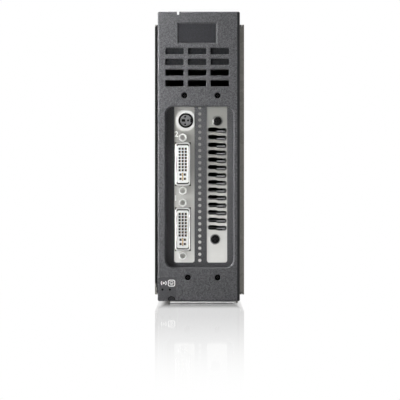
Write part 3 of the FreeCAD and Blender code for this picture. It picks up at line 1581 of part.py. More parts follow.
def make_rails():
    top = new_body("top_rail")
    drawing = Drawing(top, "front", "case_front")
    drawing.rectangle(("rail_left", "rail_right"), ("case_high", "blade_height"))
    pad(top, drawing, "case_back - case_front")
    drawing = Drawing(top, "front", "case_front")
    notch_left = "key_notch_place - key_notch_width / 2"
    notch_right = "key_notch_place + key_notch_width / 2"
    drawing.rectangle((notch_left, notch_right), ("blade_height - key_notch_depth", "blade_height"))
    hollow = ("case_high + rail_wall", "blade_height - rail_wall")
    drawing.rectangle(("rail_left + rail_wall", f"{notch_left} - rail_wall"), hollow)
    drawing.rectangle((f"{notch_right} + rail_wall", "rail_right - rail_wall"), hollow)
    pocket(top, drawing, "case_back - case_front")
    node(top)

    runner = new_body("bottom_runner")
    drawing = Drawing(runner, "front", "case_front")
    lip_top = "bezel_sill + rail_wall"
    left_in = "rail_left + rail_wall"
    right_in = "rail_right - rail_wall"
    drawing.outline([
        ("rail_left", "0"),
        (left_in, "0"),
        (left_in, "bezel_sill"),
        (f"{left_in} + runner_lip", "bezel_sill"),
        (f"{left_in} + runner_lip", lip_top),
        (left_in, lip_top),
        (left_in, "runner_height - rail_wall"),
        (right_in, "runner_height - rail_wall"),
        (right_in, lip_top),
        (f"{right_in} - runner_lip", lip_top),
        (f"{right_in} - runner_lip", "bezel_sill"),
        (right_in, "bezel_sill"),
        (right_in, "0"),
        ("rail_right", "0"),
        ("rail_right", "runner_height"),
        ("rail_left", "runner_height"),
    ])
    pad(runner, drawing, "case_back - case_front")
    node(runner)


def make_pull_tab():
    """A thin plate under the runner's lips; its head above the lips keeps it from falling out."""
    tab_start = "front + tab_setback"
    tab_end = f"{tab_start} + tab_length"
    head_start = "case_front + tab_travel + tab_setback"
    plate_top = "bezel_sill - tab_slack"
    sides = ("rail_left + rail_wall + seam", "rail_right - rail_wall - seam")
    plate = block("tab_plate", sides, (tab_start, tab_end), (f"{plate_top} - tab_thick", plate_top))
    web_sides = ("rail_left + rail_wall + runner_lip + seam", "rail_right - rail_wall - runner_lip - seam")
    head_low = "bezel_sill + rail_wall + tab_slack"
    head_top = "runner_height - rail_wall - tab_slack"
    web = block("tab_web", web_sides, (head_start, tab_end), (plate_top, head_low))
    head = block("tab_head", ("rail_shift - tab_head_width / 2", "rail_shift + tab_head_width / 2"),
                 (head_start, tab_end), (head_low, head_top))
    node(fuse("pull_tab", plate, web, head))


def make_edge_strip():
    """The black strip on the tray's front flange, left of the bezel, stepped at its lower end."""
    body = new_body("edge_strip")
    inner = "bezel_left - fit * 2"
    drawing = Drawing(body, "front", "case_front - steel")
    drawing.outline([
        (inner, "case_low + strip_foot"),
        (f"{inner} - strip_tooth", "case_low + strip_foot"),
        (f"{inner} - strip_tooth", "case_low + strip_tooth_top"),
        (f"{inner} - strip_neck", "case_low + strip_neck_low"),
        (f"{inner} - strip_neck", "case_low + strip_neck_high"),
        (f"{inner} - strip_shoulder", "case_low + strip_shoulder_low"),
        (f"{inner} - strip_shoulder", "case_low + strip_shoulder_high"),
        ("case_left", "case_low + strip_body_low"),
        ("case_left", "case_high - strip_slope"),
        (inner, "case_high"),
    ])
    pad(body, drawing, "steel")
    node(body)


def make_cover():
    body = new_body("access_cover")
    drawing = Drawing(body, "side", "cover_inside")
    drawing.rectangle(("case_front", "case_back"), ("case_low", "case_high"))
    pad(body, drawing, "steel")
    drawing = Drawing(body, "front", "case_front")
    lip_room = "steel + seam"
    for low, high in (("floor_top + seam", f"floor_top + {lip_room}"),
                      (f"case_high - steel - ({lip_room})", "case_high - steel - seam")):
        drawing.rectangle(("cover_lip_left", "cover_inside"), (low, high))
    pad(body, drawing, "case_back - case_front")
    drawing = Drawing(body, "front", "case_front")
    drawing.rectangle(("cover_inside - cover_flange", "cover_inside"),
                      ("floor_top + seam", "case_high - steel - seam"))
    pad(body, drawing, "steel")
    drawing = Drawing(body, "side", "cover_inside")
    drawing.rectangle(("dish_start", "dish_end"), ("dish_low", "dish_high"))
    pocket(body, drawing, "steel")
    drawing = Drawing(body, "side", "case_right - bead_deep")
    draw_beads(drawing)
    pocket(body, drawing, "bead_deep")
    node(body)

    tub = block("dish_tub", ("dish_floor - dish_wall", "case_right"), ("dish_start", "dish_end"),
                ("dish_low", "dish_high"))
    rim = block("dish_rim", ("cover_inside - dish_wall", "cover_inside"),
                ("dish_start - dish_flange", "dish_end + dish_flange"),
                ("dish_low - dish_flange", "dish_high + dish_flange"))
    hollow = block("dish_hollow", ("dish_floor", "case_right"),
                   ("dish_start + dish_wall", "dish_end - dish_wall"),
                   ("dish_low + dish_wall", "dish_high - dish_wall"))
    pin_hole = rod("dish_pin_hole", "z", ("latch_axis_across", "latch_axis_along", "dish_low"),
                   "dish_height", "latch_pin + fit")
    node(cut("latch_dish", fuse("dish_solid", tub, rim), hollow, pin_hole))
    node(rod("latch_pin", "z", ("latch_axis_across", "latch_axis_along", "dish_low"),
             "dish_height", "latch_pin"))


def make_latch():
    """The cover's latch: a lever flush in its dish, with a barrel on the pin and a finger scoop."""
    low = "dish_low + dish_wall + seam"
    high = "dish_high - dish_wall - seam"
    scoop_end = "dish_start + dish_wall + latch_scoop"
    lever = block("latch_lever", ("latch_axis_across", "latch_axis_across + latch_thick"),
                  (scoop_end, "latch_axis_along"), (low, high))
    barrel = rod("latch_barrel", "z", ("latch_axis_across", "latch_axis_along", low),
                 f"({high}) - ({low})", "latch_barrel")
    hole = rod("latch_hole", "z", ("latch_axis_across", "latch_axis_along", low),
               f"({high}) - ({low})", "latch_pin + fit")
    node(cut("cover_latch", fuse("latch_solid", lever, barrel), hole))


make_bezel()
make_badge_and_overlay()
make_indicators()
make_button()
make_slot_panel()
make_vent_baffle()
make_front_screws()
make_card_bracket()
make_video_socket("video_socket_upper", "video_high")
make_video_socket("video_socket_lower", "video_low")
make_jackscrews()
make_stereo_socket()
make_exhaust_screws()
make_graphics_board()
make_heatsink()
make_shroud()
make_blower()
make_power_lead()
make_main_board(*make_riser())
make_edge_slot()
make_board_components()
make_rear_connector("signal_connector_upper", "signal_high", "signal_height", 5)
make_rear_connector("signal_connector_lower", "signal_low", "signal_height", 5)
make_rear_connector("power_connector", "power_rise", "power_height", 3)
make_rear_panel()
make_tray()
make_rails()
make_pull_tab()
make_edge_strip()
make_cover()
make_latch()
doc.recompute()

# Every object is checked before anything is written
faults = []
for thing in doc.Objects:
    if "Invalid" in thing.State or "Error" in thing.State:
        faults.append(f"{thing.Name}: {thing.State}")
for part in nodes:
    if part.Shape.isNull() or not part.Shape.isValid() or not part.Shape.Solids:
        faults.append(f"{part.Label}: no valid shape")
if faults:
    raise RuntimeError("; ".join(faults))

os.makedirs("parts", exist_ok=True)
for part in nodes:
    part.Shape.exportStep(f"parts/{part.Label}.step")
print(f"{len(nodes)} sub-parts written")
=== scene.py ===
import math

import bmesh
import bpy
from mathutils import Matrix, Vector


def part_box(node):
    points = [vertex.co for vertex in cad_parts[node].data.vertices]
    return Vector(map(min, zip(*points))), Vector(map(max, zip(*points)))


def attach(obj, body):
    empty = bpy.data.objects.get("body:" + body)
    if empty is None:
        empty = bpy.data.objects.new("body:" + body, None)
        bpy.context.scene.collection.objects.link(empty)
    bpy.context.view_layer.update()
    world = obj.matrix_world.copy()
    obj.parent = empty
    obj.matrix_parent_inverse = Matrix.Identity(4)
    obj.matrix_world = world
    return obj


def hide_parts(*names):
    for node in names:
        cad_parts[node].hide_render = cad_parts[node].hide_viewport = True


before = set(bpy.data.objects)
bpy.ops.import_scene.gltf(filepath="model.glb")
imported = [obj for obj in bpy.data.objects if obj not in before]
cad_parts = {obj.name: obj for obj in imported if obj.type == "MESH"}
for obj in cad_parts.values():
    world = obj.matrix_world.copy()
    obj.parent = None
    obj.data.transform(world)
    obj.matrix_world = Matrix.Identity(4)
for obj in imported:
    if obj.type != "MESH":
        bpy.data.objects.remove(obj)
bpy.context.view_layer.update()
MM = 0.001

# Chassis tray, rails and rear panel
# The blade's box is folded from zinc coated sheet steel, with two long beads pressed into its wall.
# The top rail, the bottom runner and the riveted rear panel are sheet of the same coil.


def start_finish(name, metallic=0.0, shine=0.12):
    """A new node finish, its node tree and its surface shader."""
    finish = bpy.data.materials.new(name)
    finish.use_nodes = True
    shader = finish.node_tree.nodes["Principled BSDF"]
    shader.inputs["Metallic"].default_value = metallic
    shader.inputs["Specular IOR Level"].default_value = shine
    return finish, finish.node_tree, shader


def placed_on(tree, texture, size, stretch):
    """Lays a texture over the piece, one grain to `size` metres, drawn out along each axis."""
    place = tree.nodes.new("ShaderNodeTexCoord")
    pull = tree.nodes.new("ShaderNodeMapping")
    pull.inputs["Scale"].default_value = [1 / (size * share) for share in stretch]
    texture.inputs["Scale"].default_value = 1.0
    tree.links.new(place.outputs["Object"], pull.inputs["Vector"])
    tree.links.new(pull.outputs["Vector"], texture.inputs["Vector"])


def grain(tree, size, stretch=(1, 1, 1), detail=2.0):
    """A cloudy pattern for moulded, brushed or painted surfaces."""
    noise = tree.nodes.new("ShaderNodeTexNoise")
    noise.inputs["Detail"].default_value = detail
    placed_on(tree, noise, size, stretch)
    return noise.outputs["Fac"]


def spangle(tree, size):
    """The crystal patches of a zinc coat."""
    cells = tree.nodes.new("ShaderNodeTexVoronoi")
    placed_on(tree, cells, size, (1, 1, 1))
    level = tree.nodes.new("ShaderNodeSeparateColor")
    tree.links.new(cells.outputs["Color"], level.inputs["Color"])
    return level.outputs["Red"]


def blend_patterns(tree, first, second, share):
    """Two patterns in one, the second with the given share."""
    mix = tree.nodes.new("ShaderNodeMix")
    mix.inputs["Factor"].default_value = share
    tree.links.new(first, mix.inputs["A"])
    tree.links.new(second, mix.inputs["B"])
    return mix.outputs["Result"]


def tint(tree, shader, pattern, dark, light, low=0.35, high=0.65):
    """Base colour from dark to light as the pattern goes from low to high."""
    ramp = tree.nodes.new("ShaderNodeValToRGB")
    first, last = ramp.color_ramp.elements
    first.position = low
    first.color = (*dark, 1)
    last.position = high
    last.color = (*light, 1)
    tree.links.new(pattern, ramp.inputs["Fac"])
    tree.links.new(ramp.outputs["Color"], shader.inputs["Base Color"])


def gloss(tree, shader, pattern, smooth, rough):
    """Roughness from smooth to rough over the pattern."""
    spread = tree.nodes.new("ShaderNodeMapRange")
    spread.inputs["From Min"].default_value = 0.3
    spread.inputs["From Max"].default_value = 0.7
    spread.inputs["To Min"].default_value = smooth
    spread.inputs["To Max"].default_value = rough
    tree.links.new(pattern, spread.inputs["Value"])
    tree.links.new(spread.outputs["Result"], shader.inputs["Roughness"])


def relief(tree, shader, pattern, height):
    """Fine surface relief, height in metres."""
    bump = tree.nodes.new("ShaderNodeBump")
    bump.inputs["Distance"].default_value = height
    tree.links.new(pattern, bump.inputs["Height"])
    tree.links.new(bump.outputs["Normal"], shader.inputs["Normal"])


def ease_edges(piece, width):
    """Breaks a solid's sharp edges, as a mould or a press leaves them."""
    join = piece.modifiers.new("join_faces", "WELD")
    join.merge_threshold = 0.001 * MM
    flats = piece.modifiers.new("whole_flats", "DECIMATE")
    flats.decimate_type = "DISSOLVE"
    flats.angle_limit = math.radians(0.5)
    edges = piece.modifiers.new("eased_edges", "BEVEL")
    edges.width = width
    edges.segments = 3
    edges.limit_method = "ANGLE"
    edges.angle_limit = math.radians(40)
    edges.harden_normals = True
    shade = piece.modifiers.new("even_shading", "WEIGHTED_NORMAL")
    shade.keep_sharp = True


def dress(finish, edge, *nodes):
    """Gives CAD solids their finish, and eases their edges by the given width."""
    for node in nodes:
        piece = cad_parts[node]
        for material_slot in piece.material_slots:
            material_slot.material = finish
        if edge:
            ease_edges(piece, edge)


def make_zinc_sheet(name, zinc_dark, zinc_light):
    patch = 5 * MM
    speck = 0.9 * MM
    finish, tree, shader = start_finish(name, metallic=0.75)
    patches = spangle(tree, patch)
    specks = grain(tree, speck, detail=3.0)
    coat = blend_patterns(tree, patches, specks, 0.6)
    tint(tree, shader, coat, zinc_dark, zinc_light, 0.25, 0.75)
    gloss(tree, shader, coat, 0.36, 0.52)
    relief(tree, shader, specks, 0.01 * MM)
    return finish


zinc_sheet = make_zinc_sheet("zinc_sheet", (0.135, 0.131, 0.119), (0.225, 0.220, 0.202))
dress(zinc_sheet, 0.15 * MM, "chassis_tray", "top_rail", "bottom_runner", "rear_panel")

# Slot panel and rivets
# A dark powder coated plate behind the bezel, with two card slots and a row of small holes between them.
# Blind rivets hold the rear panel.


def make_powder_coat():
    coat_dark = (0.072, 0.072, 0.077)
    coat_light = (0.144, 0.144, 0.150)
    fleck = 0.55 * MM
    finish, tree, shader = start_finish("powder_coat", shine=0.1)
    flecks = grain(tree, fleck, detail=3.0)
    tint(tree, shader, flecks, coat_dark, coat_light)
    gloss(tree, shader, grain(tree, 6 * MM), 0.42, 0.60)
    relief(tree, shader, flecks, 0.03 * MM)
    return finish


def make_plated_steel(name, dark, light, smooth, rough):
    finish, tree, shader = start_finish(name, metallic=0.6)
    plating = grain(tree, 1.5 * MM, detail=1.0)
    tint(tree, shader, plating, dark, light, 0.1, 0.9)
    gloss(tree, shader, plating, smooth, rough)
    relief(tree, shader, plating, 0.006 * MM)
    return finish


powder_coat = make_powder_coat()
zinc_plate = make_plated_steel("zinc_plate", (0.70, 0.70, 0.68), (0.84, 0.84, 0.82), 0.30, 0.40)
dress(powder_coat, 0.12 * MM, "slot_panel")
dress(zinc_plate, 0.12 * MM, "panel_rivets")

# Vent baffle
# A sheet bent to stand close behind the two upper rows of vents, in a flat black coat.
# Its upper lip holds it on the slot panel.


def make_flat_black():
    finish, tree, shader = start_finish("flat_black", shine=0.15)
    dust = grain(tree, 1.2 * MM, detail=3.0)
    tint(tree, shader, dust, (0.009, 0.010, 0.012), (0.022, 0.023, 0.025))
    gloss(tree, shader, dust, 0.55, 0.75)
    relief(tree, shader, dust, 0.02 * MM)
    return finish


dress(make_flat_black(), 0.12 * MM, "vent_baffle")

# Rear connectors and guide sockets
# Two signal connectors and a power connector of black glass filled plastic stand out of the rear panel.
# Turned guide sockets take the pins of the bay; gilt blades stand in rows in the connectors' slots.
CONTACT_PITCH = 3.0 * MM
CONNECTOR_MIDDLE = -14.0 * MM
CONTACT_TIP = 251.6 * MM
CONTACT_ROOT = 250.3 * MM


def make_moulding(name, dark, light, speck, smooth, rough, height):
    """A moulded plastic with a fine texture from its tool."""
    finish, tree, shader = start_finish(name)
    specks = grain(tree, speck, detail=3.0)
    tint(tree, shader, specks, dark, light)
    gloss(tree, shader, grain(tree, 14 * speck), smooth, rough)
    relief(tree, shader, specks, height)
    return finish


def make_gilt():
    finish, tree, shader = start_finish("gilt", metallic=1.0)
    wear = grain(tree, 0.7 * MM)
    tint(tree, shader, wear, (0.62, 0.40, 0.13), (0.86, 0.62, 0.27))
    gloss(tree, shader, wear, 0.30, 0.40)
    return finish


def new_piece(name, bm, finish, body):
    """Turns built faces into a piece of the object that rides on a body."""
    bmesh.ops.recalc_face_normals(bm, faces=bm.faces)
    mesh = bpy.data.meshes.new(name)
    bm.to_mesh(mesh)
    bm.free()
    mesh.materials.append(finish)
    piece = bpy.data.objects.new(name, mesh)
    bpy.context.scene.collection.objects.link(piece)
    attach(piece, body)
    return piece


def join_rings(bm, rings):
    """Walls between rings of equal count."""
    for low, high in zip(rings, rings[1:]):
        for step in range(len(low)):
            after = (step + 1) % len(low)
            bm.faces.new((low[step], low[after], high[after], high[step]))


def add_blade(bm, x, z, width, height, root, tip):
    """A flat contact blade along Y whose tip is drawn in."""
    drawn_in = 0.5
    tapered = 0.4
    shoulder = tip - tapered * (tip - root)
    rings = []
    for y, share in ((root, 1.0), (shoulder, 1.0), (tip, drawn_in)):
        across = width * share / 2
        tall = height * share / 2
        corners = ((-across, -tall), (across, -tall), (across, tall), (-across, tall))
        rings.append([bm.verts.new((x + dx, y, z + dz)) for dx, dz in corners])
    join_rings(bm, rings)
    bm.faces.new(rings[0])
    bm.faces.new(rings[-1])


def stand_contacts(name, node, columns, rows, blade_width, blade_height):
    """Rows of gilt blades in the slots of one rear connector."""
    low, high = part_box(node)
    margin = 3.2 * MM
    bottom = low.z + margin
    pitch = (high.z - low.z - 2 * margin) / (rows - 1)
    bm = bmesh.new()
    for column in range(columns):
        x = CONNECTOR_MIDDLE + (column - (columns - 1) / 2) * CONTACT_PITCH
        for row in range(rows):
            z = bottom + row * pitch
            add_blade(bm, x, z, blade_width, blade_height, CONTACT_ROOT, CONTACT_TIP)
    new_piece(name, bm, gilt, "chassis")


black_nylon = make_moulding(
    "black_nylon", (0.022, 0.022, 0.024), (0.042, 0.042, 0.045), 0.6 * MM, 0.40, 0.58, 0.02 * MM
)
gilt = make_gilt()
dress(black_nylon, 0.2 * MM, "signal_connector_upper", "signal_connector_lower", "power_connector")
dress(zinc_plate, 0.2 * MM, "guide_sockets")
for level in ("upper", "lower"):
    stand_contacts(
        f"{level}_signal_contacts", f"signal_connector_{level}",
        columns=5, rows=14, blade_width=0.5 * MM, blade_height=1.1 * MM,
    )
stand_contacts(
    "power_contacts", "power_connector", columns=3, rows=4, blade_width=0.8 * MM, blade_height=3.4 * MM
)

# Boards and what is soldered to them
# Glass laminate under green solder mask, with copper tracks that show through as paler lines.
# Moulded chips, ferrite chokes, drawn cans and extruded heatsinks stand on it; standoffs carry it.


def make_solder_mask():
    track = 2.2 * MM
    finish, tree, shader = start_finish("solder_mask")
    tracks = tree.nodes.new("ShaderNodeTexBrick")
    tracks.inputs["Mortar Size"].default_value = 0.03
    placed_on(tree, tracks, track, (1, 1, 1))
    mask = blend_patterns(tree, tracks.outputs["Fac"], grain(tree, 9 * MM), 0.5)
    tint(tree, shader, mask, (0.012, 0.075, 0.030), (0.030, 0.150, 0.065))
    gloss(tree, shader, mask, 0.30, 0.42)
    relief(tree, shader, mask, 0.02 * MM)
    return finish


def make_drawn_metal(name, dark, light, along):
    """Bright aluminium with the lines of the die along one axis."""
    drawn_out = 30
    stretch = [drawn_out if axis == along else 1 for axis in "xyz"]
    finish, tree, shader = start_finish(name, metallic=1.0)
    lines = grain(tree, 0.35 * MM, stretch, detail=4.0)
    tint(tree, shader, lines, dark, light)
    gloss(tree, shader, lines, 0.30, 0.44)
    relief(tree, shader, lines, 0.006 * MM)
    return finish


solder_mask = make_solder_mask()
chip_moulding = make_moulding(
    "chip_moulding", (0.020, 0.020, 0.022), (0.036, 0.036, 0.039), 0.35 * MM, 0.45, 0.62, 0.01 * MM
)
ferrite = make_moulding(
    "ferrite", (0.060, 0.062, 0.065), (0.095, 0.097, 0.100), 0.45 * MM, 0.55, 0.75, 0.02 * MM
)
drawn_can = make_drawn_metal("drawn_can", (0.56, 0.56, 0.58), (0.76, 0.76, 0.78), "x")
extruded_fins = make_drawn_metal("extruded_fins", (0.207, 0.207, 0.215), (0.311, 0.311, 0.319), "y")
dress(solder_mask, 0, "main_board", "riser_board", "graphics_board", "indicator_board")
dress(chip_moulding, 0.1 * MM, "bridge_chip", "power_modules", "graphics_chip", "memory_chips")
dress(ferrite, 0.2 * MM, "power_chokes")
dress(drawn_can, 0.2 * MM, "bulk_capacitors", "card_capacitors")
dress(extruded_fins, 0, "bridge_heatsink", "heatsink")
dress(zinc_plate, 0.08 * MM, "board_standoffs", "board_screws", "shroud_screws")

# Card edge slot, its lock clip and the power sockets
# Board sockets moulded in black nylon, for the card's edge and for the plugs of the power lead.
# A pale moulded clip swings between two ears at the slot's rear end and holds the card's tail.
clip_moulding = make_moulding(
    "clip_moulding", (0.60, 0.58, 0.51), (0.70, 0.68, 0.60), 0.8 * MM, 0.34, 0.48, 0.01 * MM
)
dress(black_nylon, 0.15 * MM, "riser_header", "card_edge_slot", "board_power_header")
dress(black_nylon, 0.15 * MM, "card_power_socket", "power_plugs")
dress(clip_moulding, 0.15 * MM, "slot_lock_clip")

# Cooler shroud and blower
# A glossy black moulding over the fins leads the air of the radial blower to the vented bracket.
# The rotor turns on a motor that stands on the card.
shroud_moulding = make_moulding(
    "shroud_moulding", (0.016, 0.016, 0.017), (0.028, 0.028, 0.030), 1.2 * MM, 0.30, 0.38, 0.005 * MM
)
rotor_moulding = make_moulding(
    "rotor_moulding", (0.024, 0.024, 0.026), (0.038, 0.038, 0.041), 0.7 * MM, 0.34, 0.48, 0.01 * MM
)
dress(shroud_moulding, 0.3 * MM, "cooler_shroud")
dress(rotor_moulding, 0, "blower_rotor", "blower_motor")

# Auxiliary power lead
# A short bundle of wires in a braided black sleeve, from the board's header to the card's socket.
# Each end is held by a moulded plug.


def make_braid():
    strand = 0.8 * MM
    finish, tree, shader = start_finish("braid")
    weave = tree.nodes.new("ShaderNodeTexWave")
    weave.bands_direction = "DIAGONAL"
    weave.inputs["Distortion"].default_value = 1.5
    placed_on(tree, weave, 6 * strand, (1, 1, 1))
    tint(tree, shader, weave.outputs["Fac"], (0.012, 0.012, 0.013), (0.050, 0.050, 0.053), 0.2, 0.8)
    gloss(tree, shader, weave.outputs["Fac"], 0.50, 0.75)
    relief(tree, shader, weave.outputs["Fac"], 0.2 * MM)
    return finish


dress(make_braid(), 0, "auxiliary_power_lead")

# Card bracket
# One double width bracket of bright plated sheet; the right half is pierced by the exhaust slots.
# Plain white numerals beside the jackscrews number the two video sockets.
BRACKET_FACE = -246.5 * MM
NUMERAL_TALL = 3.3 * MM
NUMERAL_BOLD = 0.12 * MM
NUMERAL_THICK = 0.04 * MM
CAP_SHARE = 0.70


def cover(finish, axis, start, end, colour):
    """Lays another colour over a finish, bit by bit from start to end along an axis of the piece."""
    tree = finish.node_tree
    base = tree.nodes["Principled BSDF"].inputs["Base Color"]
    under = base.links[0].from_socket
    place = tree.nodes.new("ShaderNodeTexCoord")
    parts = tree.nodes.new("ShaderNodeSeparateXYZ")
    share = tree.nodes.new("ShaderNodeMapRange")
    share.inputs["From Min"].default_value = start
    share.inputs["From Max"].default_value = end
    mix = tree.nodes.new("ShaderNodeMix")
    mix.data_type = "RGBA"
    mix.inputs["B"].default_value = (*colour, 1)
    tree.links.new(place.outputs["Object"], parts.inputs["Vector"])
    tree.links.new(parts.outputs[axis], share.inputs["Value"])
    tree.links.new(share.outputs["Result"], mix.inputs["Factor"])
    tree.links.new(under, mix.inputs["A"])
    tree.links.new(mix.outputs["Result"], base)


def make_bright_sheet():
    """Bright plating, darkened toward the upper end of the bracket by a painted shade."""
    sheet_dark = (0.690, 0.685, 0.660)
    sheet_light = (0.766, 0.762, 0.737)
    sheet_painted_shade = (0.300, 0.299, 0.281)
    shade_from = 20 * MM
    shade_full = 85 * MM
    finish, tree, shader = start_finish("bright_sheet", metallic=0.5)
    clouds = grain(tree, 4.5 * MM, (1.5, 1, 1), detail=1.0)
    tint(tree, shader, clouds, sheet_dark, sheet_light, 0.1, 0.9)
    # A painted shade darkens the sheet toward the bracket's upper end.
    cover(finish, "Z", shade_from, shade_full, sheet_painted_shade)
    gloss(tree, shader, clouds, 0.30, 0.36)
    relief(tree, shader, clouds, 0.01 * MM)
    return finish


def make_print_ink(name, dark, light):
    finish, tree, shader = start_finish(name)
    film = grain(tree, 0.4 * MM)
    tint(tree, shader, film, dark, light)
    gloss(tree, shader, film, 0.45, 0.60)
    return finish


def print_numeral(name, figure, x, z):
    text = bpy.data.curves.new(name, "FONT")
    text.body = figure
    text.size = NUMERAL_TALL / CAP_SHARE
    text.align_x = "CENTER"
    text.align_y = "CENTER"
    text.extrude = NUMERAL_THICK
    text.offset = NUMERAL_BOLD
    text.materials.append(white_ink)
    numeral = bpy.data.objects.new(name, text)
    numeral.rotation_euler = (math.radians(90), 0, 0)
    numeral.location = (x, BRACKET_FACE - NUMERAL_THICK, z)
    bpy.context.scene.collection.objects.link(numeral)
    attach(numeral, "chassis")


white_ink = make_print_ink("white_ink", (0.86, 0.86, 0.84), (0.95, 0.95, 0.93))
dress(make_bright_sheet(), 0.12 * MM, "card_bracket")
print_numeral("upper_socket_numeral", "2", x=-14.4 * MM, z=105.0 * MM)
print_numeral("lower_socket_numeral", "1", x=-14.9 * MM, z=65.2 * MM)

# Video sockets
# A drawn nickel plated shell round a white insert, with 24 square contact holes and a cross at the foot.
# Each hole holds a black cup, painted shade for the hole's depth, with a gilt spring at its right side,
# and a gilt blade stands in the cross.
SOCKET_X = -10.4 * MM
SOCKET_MIDDLES = {"upper": 86.4 * MM, "lower": 45.9 * MM}
INSERT_FACE = -251.0 * MM
HOLE_PITCH = 1.905 * MM
HOLE_COLUMNS = 3
HOLE_ROWS = 8
MIDDLE_COLUMN = 1
MIDDLE_ROW = 2
HOLE_RIM = 0.1 * MM
HOLE_SHADE_FROM = 0.4 * MM
CROSS_DROP = 7.81 * MM
CROSS_REACH = 2.35 * MM
CROSS_HALF = 0.24 * MM
CROSS_HOLE = 1.33 * MM
CROSS_ROOT = 3.0 * MM
CROSS_TIP = 1.5 * MM
SHADE_CUP_HALF = 0.68 * MM
SHADE_CUP_WALL = 0.08 * MM
SHADE_CUP_BACK = 3.8 * MM
SPRING_SET_BACK = 0.9 * MM
SPRING_LONG = 2.6 * MM
SPRING_WIDE = 0.2 * MM
SPRING_TALL = 0.8 * MM


def make_nickel():
    finish, tree, shader = start_finish("nickel", metallic=0.6)
    polish = grain(tree, 3 * MM, detail=1.0)
    tint(tree, shader, polish, (0.66, 0.66, 0.64), (0.78, 0.78, 0.76), 0.1, 0.9)
    gloss(tree, shader, polish, 0.14, 0.26)
    relief(tree, shader, polish, 0.006 * MM)
    return finish


def add_shade_cup(bm, x, z):
    """A black square cup in one contact hole, open to the front: painted shade for the hole's depth."""
    inside = SHADE_CUP_HALF - SHADE_CUP_WALL
    front = INSERT_FACE + HOLE_RIM
    back = INSERT_FACE + SHADE_CUP_BACK
    floor = back - SHADE_CUP_WALL
    rings = []
    for y, half in ((back, SHADE_CUP_HALF), (front, SHADE_CUP_HALF), (front, inside), (floor, inside)):
        corners = ((-half, -half), (half, -half), (half, half), (-half, half))
        rings.append([bm.verts.new((x + dx, y, z + dz)) for dx, dz in corners])
    join_rings(bm, rings)
    bm.faces.new(rings[0])
    bm.faces.new(rings[-1])


def add_cross_ring(bm, x, y, z, reach, half):
    """The twelve corners of an upright cross, in the plane across Y."""
    outline = []
    for turn in range(4):
        along = (math.cos(turn * math.pi / 2), math.sin(turn * math.pi / 2))
        side = (-along[1], along[0])
        for out, over in ((half, -half), (reach, -half), (reach, half)):
            across = along[0] * out + side[0] * over
            tall = along[1] * out + side[1] * over
            outline.append(bm.verts.new((x + across, y, z + tall)))
    return outline


def contact_places(middle):
    """Where the contact holes of one socket are: three columns of eight, and four round the cross."""
    for column in range(HOLE_COLUMNS):
        for row in range(HOLE_ROWS):
            across = (column - MIDDLE_COLUMN) * HOLE_PITCH
            tall = (row - MIDDLE_ROW) * HOLE_PITCH
            yield SOCKET_X + across, middle + tall
    for across in (-CROSS_HOLE, CROSS_HOLE):
        for tall in (-CROSS_HOLE, CROSS_HOLE):
            yield SOCKET_X + across, middle - CROSS_DROP + tall


def add_cross_blade(bm, x, z):
    """The cross shaped ground contact, set back in its slot."""
    rings = []
    for depth in (CROSS_ROOT, CROSS_TIP):
        rings.append(add_cross_ring(bm, x, INSERT_FACE + depth, z, CROSS_REACH, CROSS_HALF))
    join_rings(bm, rings)
    for ring in rings:
        bm.faces.new(ring)


def fit_contacts(level, middle):
    shade_cups = bmesh.new()
    springs = bmesh.new()
    spring_across = SHADE_CUP_HALF - SHADE_CUP_WALL - SPRING_WIDE / 2
    tip = INSERT_FACE + SPRING_SET_BACK
    root = tip + SPRING_LONG
    for x, z in contact_places(middle):
        add_shade_cup(shade_cups, x, z)
        add_blade(springs, x + spring_across, z, SPRING_WIDE, SPRING_TALL, root, tip)
    add_cross_blade(springs, SOCKET_X, middle - CROSS_DROP)
    # The black cups are painted shade for the depth of the contact holes.
    new_piece(f"{level}_video_shade_cups", shade_cups, black_nylon, "chassis")
    new_piece(f"{level}_video_contacts", springs, gilt, "chassis")


nickel = make_nickel()
insert_painted_shade = (0.03, 0.026, 0.02)
white_moulding = make_moulding(
    "white_moulding", (0.87, 0.87, 0.84), (0.94, 0.94, 0.92), 0.7 * MM, 0.32, 0.46, 0.006 * MM
)
# Past its face, a painted shade darkens the white insert in its gaps and holes.
cover(white_moulding, "Y", INSERT_FACE + HOLE_RIM, INSERT_FACE + HOLE_SHADE_FROM, insert_painted_shade)
dress(nickel, 0.12 * MM, "video_socket_upper_shell", "video_socket_lower_shell")
dress(white_moulding, 0.06 * MM, "video_socket_upper_insert", "video_socket_lower_insert")
for level, middle in SOCKET_MIDDLES.items():
    fit_contacts(level, middle)

# Stereo socket
# A nickel plated collar on the bracket, above the video sockets, with a grey moulded insert inside it.
# The insert's key slot lets the plug in one way round.
stereo_painted_shade = (0.006, 0.006, 0.006)
grey_moulding = make_moulding(
    "grey_moulding", (0.144, 0.144, 0.149), (0.204, 0.204, 0.207), 0.6 * MM, 0.40, 0.55, 0.01 * MM
)
stereo_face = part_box("stereo_socket_insert")[0].y
# Past its face, a painted shade darkens the insert in the ring round it and in its key slot.
cover(grey_moulding, "Y", stereo_face + HOLE_RIM, stereo_face + HOLE_SHADE_FROM, stereo_painted_shade)
dress(nickel, 0.6 * MM, "stereo_socket_shell")
dress(grey_moulding, 0.05 * MM, "stereo_socket_insert")

